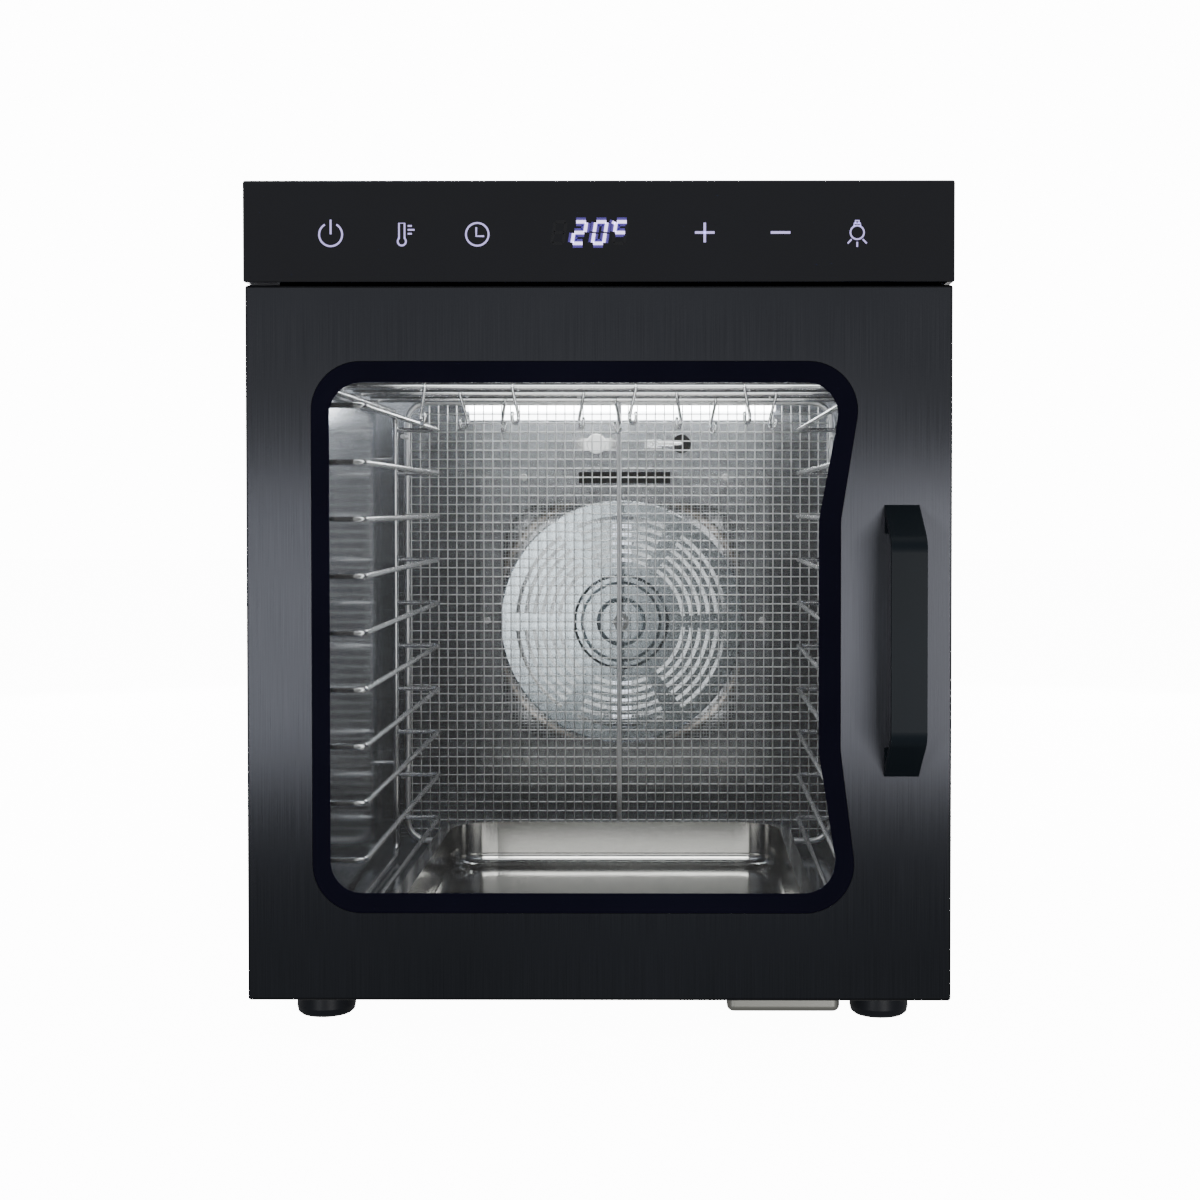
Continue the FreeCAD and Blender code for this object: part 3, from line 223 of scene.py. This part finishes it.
def brushed_metal(name, colour, grain, roughness, spread=0.06, contrast=0.12, relief=0.25,
                  blotches=0.1, anisotropic=0.0):
    """Metal with fine parallel grain; grain is the stretch of the lines along each axis."""
    made, tree, shader = material(name)
    shader.inputs["Metallic"].default_value = 1.0
    shader.inputs["Anisotropic"].default_value = anisotropic
    fine = noise(tree, grain, detail=5.0)
    broad = noise(tree, (9.0, 9.0, 9.0), detail=3.0)
    lines = ramp(tree, fine, *dark_and_light(colour, contrast))
    clouds = ramp(tree, broad, 1.0 - blotches, 1.0)
    tree.links.new(multiply(tree, lines, clouds), shader.inputs["Base Color"])
    tree.links.new(ramp(tree, fine, roughness - spread, roughness + spread),
                   shader.inputs["Roughness"])
    bump(tree, shader, fine, relief, METAL_RELIEF)
    if anisotropic:
        tangent = tree.nodes.new("ShaderNodeTangent")
        tangent.direction_type = "RADIAL"
        tangent.axis = "Z"
        tree.links.new(tangent.outputs["Tangent"], shader.inputs["Tangent"])
    return made


def coated(name, colour, roughness, grain=2500.0, relief=0.2, variation=0.12, coat=0.0,
           specular=0.5):
    """Paint, plastic or rubber: a fine even texture with slight patches."""
    made, tree, shader = material(name)
    fine = noise(tree, (grain, grain, grain), detail=3.0)
    broad = noise(tree, (14.0, 14.0, 14.0), detail=3.0)
    tree.links.new(ramp(tree, broad, *dark_and_light(colour, variation)),
                   shader.inputs["Base Color"])
    tree.links.new(ramp(tree, fine, max(roughness - 0.04, 0.02), roughness + 0.04),
                   shader.inputs["Roughness"])
    shader.inputs["Specular IOR Level"].default_value = specular
    shader.inputs["Coat Weight"].default_value = coat
    shader.inputs["Coat Roughness"].default_value = 0.06
    bump(tree, shader, fine, relief, COATING_RELIEF)
    return made


def clear_glass(name):
    """Clear glass with a faint uneven tint."""
    made, tree, shader = material(name)
    shader.inputs["Transmission Weight"].default_value = 1.0
    shader.inputs["IOR"].default_value = 1.45
    shader.inputs["Roughness"].default_value = 0.0
    smear = noise(tree, (22.0, 22.0, 16.0), detail=5.0)
    tint = ramp(tree, smear, (0.955, 0.975, 0.97), (0.985, 0.99, 0.99))
    tree.links.new(tint, shader.inputs["Base Color"])
    return made


def cap_painted_highlight(name):
    """A steel cap between two steel ears, painted white where the lamp above puts a highlight on
    it; the two meet at the cap's edge.
    """
    made, tree, shader = material(name)
    coords = tree.nodes.new("ShaderNodeTexCoord")
    split = tree.nodes.new("ShaderNodeSeparateXYZ")
    tree.links.new(coords.outputs["Object"], split.inputs["Vector"])
    offset = math_node(tree, "SUBTRACT", split.outputs["X"], CAP_X)
    across = math_node(tree, "ABSOLUTE", offset)
    # painted highlight: the near-white inside the cap's radius stands in for the lamp's reflection
    # on the cap's steel
    tree.links.new(ramp(tree, across, (0.98, 0.98, 0.97), (0.30, 0.30, 0.30),
                        CAP_RADIUS - CAP_EDGE, CAP_RADIUS + CAP_EDGE), shader.inputs["Base Color"])
    shader.inputs["Roughness"].default_value = 0.40
    return made


def glowing(name, colour, strength, uneven=0.1):
    """A lit surface with a slightly uneven glow."""
    made, tree, shader = material(name)
    shader.inputs["Roughness"].default_value = 0.4
    patches = noise(tree, (60.0, 60.0, 60.0), detail=2.0)
    dim = tuple(c * (1.0 - uneven) for c in colour)
    glow = ramp(tree, patches, dim, colour)
    tree.links.new(glow, shader.inputs["Base Color"])
    tree.links.new(glow, shader.inputs["Emission Color"])
    shader.inputs["Emission Strength"].default_value = strength
    return made


# grains: noise cells to the metre along x, y and z
VERTICAL = (5200.0, 5200.0, 22.0)
ALONG_X = (22.0, 5200.0, 5200.0)
ALONG_Y = (5200.0, 22.0, 5200.0)
EVEN_GRAIN = (900.0, 900.0, 900.0)
WIRE_GRAIN = (700.0, 700.0, 700.0)

# after the colour and the grain, brushed_metal takes the roughness, the roughness's spread, the
# grain's contrast and the grain's relief; coated takes the roughness
MATERIALS = {
    "black_brushed_steel": brushed_metal("black brushed steel", (0.026, 0.027, 0.031), VERTICAL,
                                         0.31, 0.04, 0.25, 0.2, blotches=0.14, anisotropic=1.0),
    "black_shell": coated("black shell", (0.013, 0.0138, 0.0165), 0.42, relief=0.3),
    "black_gloss": coated("gloss fascia", (0.0048, 0.0066, 0.0160), 0.10, relief=0.02, coat=0.2),
    "window_print": coated("window print", (0.0150, 0.0145, 0.0340), 0.50, relief=0.02,
                           specular=0.03),
    "black_handle": coated("handle lacquer", (0.0062, 0.0090, 0.0120), 0.40, relief=0.15,
                           specular=0.06),
    "polished_steel": brushed_metal("polished steel", (0.42, 0.445, 0.50), ALONG_Y, 0.16, 0.03,
                                    0.05, 0.05, blotches=0.12),
    # painted shade: the ceiling and the rear wall take darker copies of the chamber steel, so they
    # read darker than the side walls
    "ceiling_steel_painted_shade": brushed_metal("ceiling steel", (0.30, 0.31, 0.32), ALONG_X, 0.14, 0.02,
                                   0.05, 0.04, blotches=0.12),
    "wall_steel_painted_shade": brushed_metal("rear wall steel", (0.30, 0.31, 0.325), ALONG_X, 0.24, 0.05,
                                0.16, 0.06, blotches=0.15),
    "shroud_steel": brushed_metal("shroud steel", (0.42, 0.43, 0.45), ALONG_X, 0.23, 0.04,
                                  0.06, 0.05, blotches=0.12),
    "tray_steel": brushed_metal("tray steel", (0.50, 0.50, 0.49), ALONG_X, 0.13, 0.02, 0.04,
                                0.06),
    "bright_disc": brushed_metal("disc steel", (0.34, 0.362, 0.375), EVEN_GRAIN, 0.27, 0.04,
                                 0.04, 0.05),
    "thermostat_cap": cap_painted_highlight("thermostat cap with painted highlight"),
    "chrome_wire": brushed_metal("bright wire", (0.76, 0.765, 0.77), WIRE_GRAIN, 0.20, 0.03,
                                 0.04, 0.03),
    "guard_wire": brushed_metal("guard wire", (0.80, 0.805, 0.81), WIRE_GRAIN, 0.36, 0.03, 0.04,
                                0.03),
    "woven_steel": brushed_metal("woven wire", (0.40, 0.41, 0.42), WIRE_GRAIN, 0.40, 0.03, 0.04,
                                 0.03),
    "hook_wire": brushed_metal("hook wire", (0.84, 0.845, 0.85), WIRE_GRAIN, 0.24, 0.03, 0.04,
                               0.03),
    "galvanised": brushed_metal("pale sheet", (0.31, 0.31, 0.285), ALONG_Y, 0.38, 0.06, 0.08, 0.15,
                                blotches=0.2),
    "motor_steel": coated("motor paint", (0.05, 0.05, 0.055), 0.45),
    "shaft_steel": brushed_metal("screw steel", (0.42, 0.42, 0.42), EVEN_GRAIN, 0.3),
    "heater_steel": brushed_metal("heater sheath", (0.22, 0.20, 0.18), EVEN_GRAIN, 0.4,
                                  blotches=0.4),
    "hinge_steel": brushed_metal("hinge steel", (0.06, 0.06, 0.065), ALONG_X, 0.38),
    "magnet": coated("magnet case", (0.03, 0.03, 0.03), 0.5),
    "window_glass": clear_glass("clear glass"),
    "seal_rubber": coated("seal rubber", (0.02, 0.02, 0.022), 0.6, grain=1800.0),
    "foot_rubber": coated("foot rubber", (0.007, 0.008, 0.011), 0.42, grain=1600.0, relief=0.25,
                          specular=0.15),
    "black_plastic": coated("inlet plastic", (0.02, 0.02, 0.02), 0.45),
    "circuit_board": coated("circuit board", (0.02, 0.11, 0.05), 0.4, variation=0.3),
    "lamp_glow": glowing("lamp glow", (1.0, 0.99, 0.97), 22.0, 0.05),
    "symbol_glow": glowing("symbol glow", (0.60, 0.52, 1.0), 1.15),
    "digit_glow": glowing("digit glow", (0.72, 0.62, 1.0), 2.6),
    "halo_near": glowing("digit halo", (0.34, 0.24, 1.0), 0.16),
    "halo_far": glowing("digit halo edge", (0.30, 0.22, 1.0), 0.045),
    "ghost_digit": coated("unlit digit", (0.028, 0.029, 0.036), 0.3),
}

# nodes whose finish is not the one named by their record slot
OWN_FINISH = {
    # the ceiling's and rear wall's darker steel copies are painted shade
    "chamber_back_wall": "wall_steel_painted_shade",
    "chamber_ceiling": "ceiling_steel_painted_shade",
    "fan_shroud": "shroud_steel",
    "thermostat": "thermostat_cap",
    "guard_mesh": "guard_wire",
    "guard_frame": "guard_wire",
}


def finish_of(name, slot):
    """The finish of a CAD node: its own, a hook's, or the one of its record slot."""
    if name.startswith("hook_"):
        return MATERIALS["hook_wire"]
    return MATERIALS[OWN_FINISH.get(name, slot)]


def dress_frame():
    """Give every CAD node its finish."""
    slots = {entry["node"]: entry["material_slot"] for entry in frame["record"]["subparts"]}
    for name, node in frame["nodes"].items():
        finish = finish_of(name, slots[name])
        for slot in node.material_slots:
            slot.material = finish
        if not node.material_slots:
            node.data.materials.append(finish)


# ---- mesh helpers -------------------------------------------------------------------------
def add_piece(name, points, faces, finish, body, smooth=False):
    """A mesh piece in the frame's metres, riding on a body."""
    mesh = bpy.data.meshes.new(name)
    mesh.from_pydata([tuple(point) for point in points], [], faces)
    mesh.validate()
    mesh.update()
    piece = bpy.data.objects.new(name, mesh)
    bpy.context.collection.objects.link(piece)
    mesh.materials.append(MATERIALS[finish])
    work = bmesh.new()
    work.from_mesh(mesh)
    bmesh.ops.recalc_face_normals(work, faces=work.faces)
    work.to_mesh(mesh)
    work.free()
    if smooth:
        mesh.shade_smooth()
    else:
        mesh.shade_flat()
    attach(piece, body)
    return piece


def arc_points(centre, radius, start, stop, steps):
    """Points along an arc in the XZ plane; angles in degrees from +X towards +Z."""
    points = []
    for i in range(steps + 1):
        angle = math.radians(start + (stop - start) * i / steps)
        points.append((centre[0] + radius * math.cos(angle), centre[1] + radius * math.sin(angle)))
    return points


def ring(radius, steps):
    """Points round a full circle, for a closed line."""
    return arc_points((0.0, 0.0), radius, 0.0, 360.0 - 360.0 / steps, steps - 1)


def rounded_outline(points, radii, steps=12):
    """A closed outline in the XZ plane whose corners are rounded by arcs."""
    outline = []
    count = len(points)
    for i in range(count):
        here = Vector(points[i])
        back = (Vector(points[i - 1]) - here).normalized()
        on = (Vector(points[(i + 1) % count]) - here).normalized()
        half = back.angle(on) / 2
        centre = here + (back + on).normalized() * (radii[i] / math.sin(half))
        first = here + back * (radii[i] / math.tan(half)) - centre
        last = here + on * (radii[i] / math.tan(half)) - centre
        turn = first.angle_signed(last)
        for k in range(steps + 1):
            angle = -turn * k / steps
            spun = Vector((first.x * math.cos(angle) - first.y * math.sin(angle),
                           first.x * math.sin(angle) + first.y * math.cos(angle)))
            outline.append((centre.x + spun.x, centre.y + spun.y))
    return outline


# ---- window print -------------------------------------------------------------------------
def window_line(edges, corner):
    """A rounded window outline whose right side is waisted."""
    left, bottom, top, waist = edges["left"], edges["bottom"], edges["top"], edges["waist"]
    points = [(left, bottom), (left, top), (edges["right_top"], top), (waist, WAIST_HIGH),
              (waist, WAIST_LOW), (edges["right_bottom"], bottom)]
    return rounded_outline(points, [corner, corner, corner, WAIST_BEND, WAIST_BEND, corner])


def window_print():
    """The black border printed on the glass."""
    outer_line = window_line(BORDER, BORDER_CORNER)
    inner_line = window_line(WINDOW, WINDOW_CORNER)
    count = len(inner_line)
    points = []
    for stand_off in (PRINT_FRONT, PRINT_BACK):
        for line in (outer_line, inner_line):
            points += [(x * MM, GLASS_FRONT - stand_off * MM, BASE + z * MM) for x, z in line]
    faces = []
    for i in range(count):
        j = (i + 1) % count
        faces.append((i, j, count + j, count + i))
        faces.append((2 * count + i, 3 * count + i, 3 * count + j, 2 * count + j))
        faces.append((i, 2 * count + i, 2 * count + j, j))
        faces.append((count + i, count + j, 3 * count + j, 3 * count + i))
    add_piece("window_print", points, faces, "window_print", "door")


# ---- symbols ------------------------------------------------------------------------------
def strokes(name, lines, width, finish, lift=SYMBOL_LIFT, closed=()):
    """Flat raised lines on the fascia; each line is a list of x, z points in millimetres."""
    points, faces = [], []
    for number, line in enumerate(lines):
        loop = number in closed
        count = len(line)
        start = len(points)
        for i in range(count):
            before = Vector(line[i - 1]) if i or loop else Vector(line[i])
            after = Vector(line[(i + 1) % count]) if i < count - 1 or loop else Vector(line[i])
            along = (after - before).normalized()
            side = Vector((-along.y, along.x)) * width / 2
            here = Vector(line[i])
            for offset in (side, -side):
                spot = here + offset
                points.append((spot.x * MM, FASCIA_FRONT - lift * MM, BASE + spot.y * MM))
                points.append((spot.x * MM, FASCIA_FRONT, BASE + spot.y * MM))
        last = count if loop else count - 1
        for i in range(last):
            a = start + 4 * i
            b = start + 4 * ((i + 1) % count)
            faces += [(a, b, b + 2, a + 2), (a + 1, a + 3, b + 3, b + 1),
                      (a, a + 1, b + 1, b), (a + 2, b + 2, b + 3, a + 3)]
        if not loop:
            end = start + 4 * (count - 1)
            faces += [(start, start + 2, start + 3, start + 1), (end, end + 1, end + 3, end + 2)]
    add_piece(name, points, faces, finish, "cabinet")


def placed(lines, x, z):
    """Lines moved from a symbol's own centre to their place on the fascia."""
    return [[(x + across, z + up) for across, up in line] for line in lines]


def power_symbol():
    """An open ring with a bar through its gap."""
    bar = [(0.0, 0.2), (0.0, 7.2)]
    return placed([arc_points((0.0, 0.0), 5.6, 120.0, 420.0, 40), bar], POWER_X, SYMBOL_Z - 0.9)


def thermometer_symbol():
    """A bulb under a square-ended tube, with three scale marks."""
    low, high, half = -2.6, 4.6, 1.35
    bulb = arc_points((0.0, -4.2), 2.0, -235.0, 55.0, 24)
    tube = [(half, low), (half, high), (-half, high), (-half, low)]
    marks = [[(2.9, up), (reach, up)] for up, reach in ((3.3, 4.9), (1.4, 6.2), (-0.5, 4.9))]
    return placed([bulb, tube] + marks, THERMOMETER_X, SYMBOL_Z)


def clock_symbol():
    """A ring with two hands at three o'clock."""
    hands = [(-0.5, 3.4), (-0.5, -0.9), (3.3, -0.9)]
    return placed([ring(5.5, 40), hands], CLOCK_X, SYMBOL_Z - 0.8)


def plus_symbol():
    """A bar across and a bar up."""
    bars = [[(-SIGN_HALF, 0.0), (SIGN_HALF, 0.0)], [(0.0, -SIGN_HALF), (0.0, SIGN_HALF)]]
    return placed(bars, PLUS_X, SYMBOL_Z)


def minus_symbol():
    """A bar across."""
    return placed([[(-SIGN_HALF, 0.0), (SIGN_HALF, 0.0)]], MINUS_X, SYMBOL_Z)


def lamp_symbol():
    """A round bulb with a stepped cap above and three rays below."""
    cap = [[(-half, low), (-half, high), (half, high), (half, low)]
           for half, low, high in ((1.5, 3.0, 4.4), (0.85, 4.4, 5.7))]
    rays = [[(2.7 * side, -3.3), (4.6 * side, -5.3)] for side in (-1, 1)]
    rays.append([(0.0, -4.6), (0.0, -7.0)])
    return placed([ring(3.3, 28)] + cap + rays, LAMP_X, SYMBOL_Z)


def symbols():
    """The six touch symbols, from left to right; the first line of two of them is a ring."""
    for name, lines, width, closed in (
            ("symbol_power", power_symbol(), SYMBOL_LINE, ()),
            ("symbol_thermometer", thermometer_symbol(), SYMBOL_LINE * 0.95, ()),
            ("symbol_clock", clock_symbol(), SYMBOL_LINE, (0,)),
            ("symbol_plus", plus_symbol(), SIGN_LINE, ()),
            ("symbol_minus", minus_symbol(), SIGN_LINE, ()),
            ("symbol_lamp", lamp_symbol(), SYMBOL_LINE * 0.9, (0,))):
        strokes(name, lines, width, "symbol_glow", closed=closed)


# ---- display ------------------------------------------------------------------------------
def digit(x, lit):
    """Strokes of one slanted seven-segment digit centred at x."""
    half, tall = DIGIT_HALF
    gap = DIGIT_GAP
    bars = [((-half + gap, tall), (half - gap, tall)),
            ((-half, tall - gap), (-half, gap)), ((half, tall - gap), (half, gap)),
            ((-half + gap, 0.0), (half - gap, 0.0)),
            ((-half, -gap), (-half, -tall + gap)), ((half, -gap), (half, -tall + gap)),
            ((-half + gap, -tall), (half - gap, -tall))]
    return [[(x + across + up * DIGIT_SLANT, SYMBOL_Z + up) for across, up in bar]
            for bar, on in zip(bars, lit) if on]


def display():
    """The lit reading with its halo, and the unlit segments beside it."""
    unlit_x, tens_x, units_x, unit_x = (DIGITS_X + place * DIGIT_PITCH for place in (-2, -1, 0, 1))
    lit = digit(tens_x, SEGMENTS_TWO) + digit(units_x, SEGMENTS_NOUGHT)
    lit += digit(unit_x, SEGMENTS_SMALL_C) + placed([DEGREE_MARK], unit_x, SYMBOL_Z)
    strokes("display_halo_far", lit, HALO_FAR_LINE, "halo_far", lift=HALO_FAR_LIFT)
    strokes("display_halo_near", lit, HALO_NEAR_LINE, "halo_near", lift=HALO_NEAR_LIFT)
    strokes("display_digits", lit, DIGIT_LINE, "digit_glow")
    unlit = digit(unlit_x, SEGMENTS_EIGHT)
    unlit += digit(unit_x, tuple(1 - on for on in SEGMENTS_SMALL_C))
    strokes("display_unlit", unlit, UNLIT_LINE, "ghost_digit",
            lift=UNLIT_LIFT)


# ---- woven wire ---------------------------------------------------------------------------
def add_wire(points, faces, path):
    """Add a thin tube along a path that runs mainly along X or Z, in a plane facing Y."""
    start = len(points)
    for i, here in enumerate(path):
        before = path[max(i - 1, 0)]
        after = path[min(i + 1, len(path) - 1)]
        along = (after - before).normalized()
        across = along.cross(Vector((0, 1, 0))).normalized()
        up = across.cross(along)
        for k in range(MESH_SIDES):
            angle = 2 * math.pi * k / MESH_SIDES
            points.append(here + (across * math.cos(angle) + up * math.sin(angle)) * MESH_WIRE)
    for i in range(len(path) - 1):
        for k in range(MESH_SIDES):
            a = start + i * MESH_SIDES + k
            b = start + i * MESH_SIDES + (k + 1) % MESH_SIDES
            faces.append((a, b, b + MESH_SIDES, a + MESH_SIDES))
    end = start + (len(path) - 1) * MESH_SIDES
    faces.append(tuple(start + k for k in range(MESH_SIDES))[::-1])
    faces.append(tuple(end + k for k in range(MESH_SIDES)))


def inside_reach(offset, half_across, half_along):
    """Half length of a wire at an offset inside the screen's rounded rectangle."""
    beyond = abs(offset) - (half_across - MESH_CORNER)
    if beyond <= 0:
        return half_along
    return half_along - MESH_CORNER + math.sqrt(max(MESH_CORNER ** 2 - beyond ** 2, 0.0))


def woven_screen():
    """The screen behind the disc: plain-woven wires in place of the CAD's coarse sheet."""
    centre = (SCREEN_LOW + SCREEN_HIGH) / 2
    half_x = (SCREEN_HIGH.x - SCREEN_LOW.x) / 2
    half_z = (SCREEN_HIGH.z - SCREEN_LOW.z) / 2
    points, faces = [], []
    for vertical in (True, False):
        half_across, half_along = (half_x, half_z) if vertical else (half_z, half_x)
        side = 1 if vertical else -1
        lines = int((half_across - MESH_WIRE) / MESH_PITCH)
        for i in range(-lines, lines + 1):
            offset = i * MESH_PITCH
            reach = inside_reach(abs(offset) + MESH_WIRE, half_across, half_along)
            crossings = int(reach / MESH_PITCH)
            stops = [k * MESH_PITCH / 2 for k in range(-2 * crossings, 2 * crossings + 1)]
            path = []
            for stop in [-reach] + stops + [reach]:
                phase = math.cos(math.pi * (stop / MESH_PITCH + i)) * side
                across, along = (offset, stop) if vertical else (stop, offset)
                path.append(Vector((across + centre.x, centre.y + MESH_CRIMP * phase,
                                    along + centre.z)))
            add_wire(points, faces, path)
    piece = add_piece("fan_screen_weave", points, faces, "woven_steel", "cabinet",
                      smooth=True)
    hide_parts("fan_screen")


# ---- stage --------------------------------------------------------------------------------
def camera_only(tree, seen, unseen):
    """A value for what is seen directly or through one pane, and another for all other light."""
    path = tree.nodes.new("ShaderNodeLightPath")
    near = math_node(tree, "LESS_THAN", path.outputs["Ray Depth"], PANE_BOUNCES + 0.5)
    through = math_node(tree, "MULTIPLY", path.outputs["Is Transmission Ray"], near)
    direct = math_node(tree, "MAXIMUM", path.outputs["Is Camera Ray"], through)
    pick = tree.nodes.new("ShaderNodeMapRange")
    pick.inputs["To Min"].default_value = unseen
    pick.inputs["To Max"].default_value = seen
    tree.links.new(direct, pick.inputs["Value"])
    return pick.outputs["Result"]


def floor():
    """A white floor that reflections don't show and that casts no shadow."""
    around = ((-1, -1), (1, -1), (1, 1), (-1, 1))
    mesh = bpy.data.meshes.new("floor")
    mesh.from_pydata([(x * FLOOR_HALF, y * FLOOR_HALF, -FLOOR_DROP) for x, y in around], [],
                     [(0, 1, 2, 3)])
    piece = bpy.data.objects.new("floor", mesh)
    bpy.context.collection.objects.link(piece)
    made, tree, shader = material("pale floor")
    tree.links.new(camera_only(tree, FLOOR_SEEN, FLOOR_UNSEEN), shader.inputs["Base Color"])
    shader.inputs["Roughness"].default_value = 0.9
    shader.inputs["Specular IOR Level"].default_value = 0.0
    shader.inputs["Emission Color"].default_value = (1.0, 1.0, 1.0, 1.0)
    tree.links.new(camera_only(tree, FLOOR_GLOW, 0.0), shader.inputs["Emission Strength"])
    mesh.materials.append(made)
    piece.visible_glossy = False
    piece.visible_shadow = False


def surroundings():
    """A white backdrop that reflections and other light see dimmer."""
    world = bpy.data.worlds.new("studio")
    world.use_nodes = True
    tree = world.node_tree
    background = tree.nodes["Background"]
    background.inputs["Color"].default_value = (1.0, 1.0, 1.0, 1.0)
    tree.links.new(camera_only(tree, BACKDROP, SURROUNDINGS), background.inputs["Strength"])
    bpy.context.scene.world = world


# ---- lights (metres and watts) ------------------------------------------------------------
def area_light(name, place, target, size, power, colour=WHITE, only=()):
    """A soft light that the camera doesn't see; only names the nodes that it lights, if not all."""
    data = bpy.data.lights.new(name, "AREA")
    data.shape = "RECTANGLE"
    data.size, data.size_y = size
    data.energy = power
    data.color = colour
    light = bpy.data.objects.new(name, data)
    light.location = place
    light.rotation_euler = (Vector(target) - Vector(place)).to_track_quat("-Z", "Y").to_euler()
    light.visible_camera = False
    bpy.context.collection.objects.link(light)
    if only:
        lit = bpy.data.collections.new(name + "_lit")
        for node in only:
            lit.objects.link(frame["nodes"][node])
        light.light_linking.receiver_collection = lit


def front_cards():
    """Two key cards for all but the fascia and the glass, and two for the door's steel alone."""
    matt = [node for node in frame["nodes"] if node not in ("control_fascia", "window_glass")]
    for left, right, power, colour in ((-0.74, -0.352, 6.6, COOL_WHITE),
                                       (0.24, 0.74, 9.6, WARM_WHITE)):
        across, up = (left + right) / 2, 0.125
        area_light("key", (across, CARD_Y, up), (across, 0.0, up), (right - left, 0.34), power,
                   colour, matt)
    for up, power, colour in ((0.50, 3.0, COOL_WHITE), (-0.25, 0.8, PALE_BLUE)):
        area_light("door_card", (0.0, CARD_Y, up), (0.0, 0.0, up), (1.8, 0.40), power, colour,
                   ("door_skin",))


def room_lights():
    """Large lights above, at both sides and behind."""
    middle = (0.0, -0.1, 0.2)
    area_light("top", (0.0, 0.0, 1.6), middle, (1.6, 1.6), 12.0)
    for side in (-1, 1):
        area_light("side", (side * 1.3, 0.25, 0.75), middle, (0.5, 1.0), 9.0)
        area_light("rear", (side * 0.7, 1.4, 0.55), middle, (0.4, 0.9), 7.0)


def chamber_lights():
    """The lamp bar's own light and soft cards inside the chamber, some for chosen nodes."""
    area_light("chamber_lamp", (0.0, LAMP_LOW.y - 0.006, LAMP_LOW.z - 0.002),
               (0.0, -0.02, 0.10), (0.21, 0.014), 0.28, COOL_WHITE)
    area_light("chamber_fill", (0.0, -0.150, CHAMBER_TOP - 0.010), (0.0, 0.10, 0.10),
               (0.26, 0.05), 0.24, COOL_WHITE)
    wires = [node for node in frame["nodes"]
             if node.startswith(("guard", "hook", "rail", "hanging"))]
    area_light("wire_card", (0.0, -0.178, 0.21), (0.0, 0.10, 0.20), (0.22, 0.20), 0.24, WHITE,
               wires + ["thermostat", "temperature_probe", "shroud_screws"])
    area_light("screen_fill", (FAN_CENTRE.x, DISC_HIGH.y + 0.004, FAN_CENTRE.z),
               (FAN_CENTRE.x, 1.0, FAN_CENTRE.z), (0.14, 0.14), 0.24)
    area_light("disc_card", (-0.082, -0.140, 0.215), (-0.05, 0.16, 0.20), (0.12, 0.20), 0.52,
               DISC_WHITE, ("diffuser_disc",))
    for up, tall, power in ((0.21, 0.08, 0.50), (0.063, 0.024, 0.036)):
        area_light("tray_card", (0.0, -0.152, up), (0.0, 0.10, 0.045), (0.20, tall), power,
                   TRAY_WHITE, ("drip_tray",))


# ---- camera -------------------------------------------------------------------------------
def camera():
    """The front view."""
    data = bpy.data.cameras.new("camera")
    data.lens = CAMERA_LENS
    data.sensor_width = 36.0
    data.shift_x, data.shift_y = CAMERA_SHIFT
    view = bpy.data.objects.new("camera", data)
    view.location = CAMERA_PLACE
    view.rotation_euler = (math.radians(90.0 - CAMERA_DOWN), 0.0, math.radians(CAMERA_TURN))
    bpy.context.collection.objects.link(view)
    bpy.context.scene.camera = view


dress_frame()
window_print()
symbols()
display()
woven_screen()
floor()
surroundings()
front_cards()
room_lights()
chamber_lights()
camera()
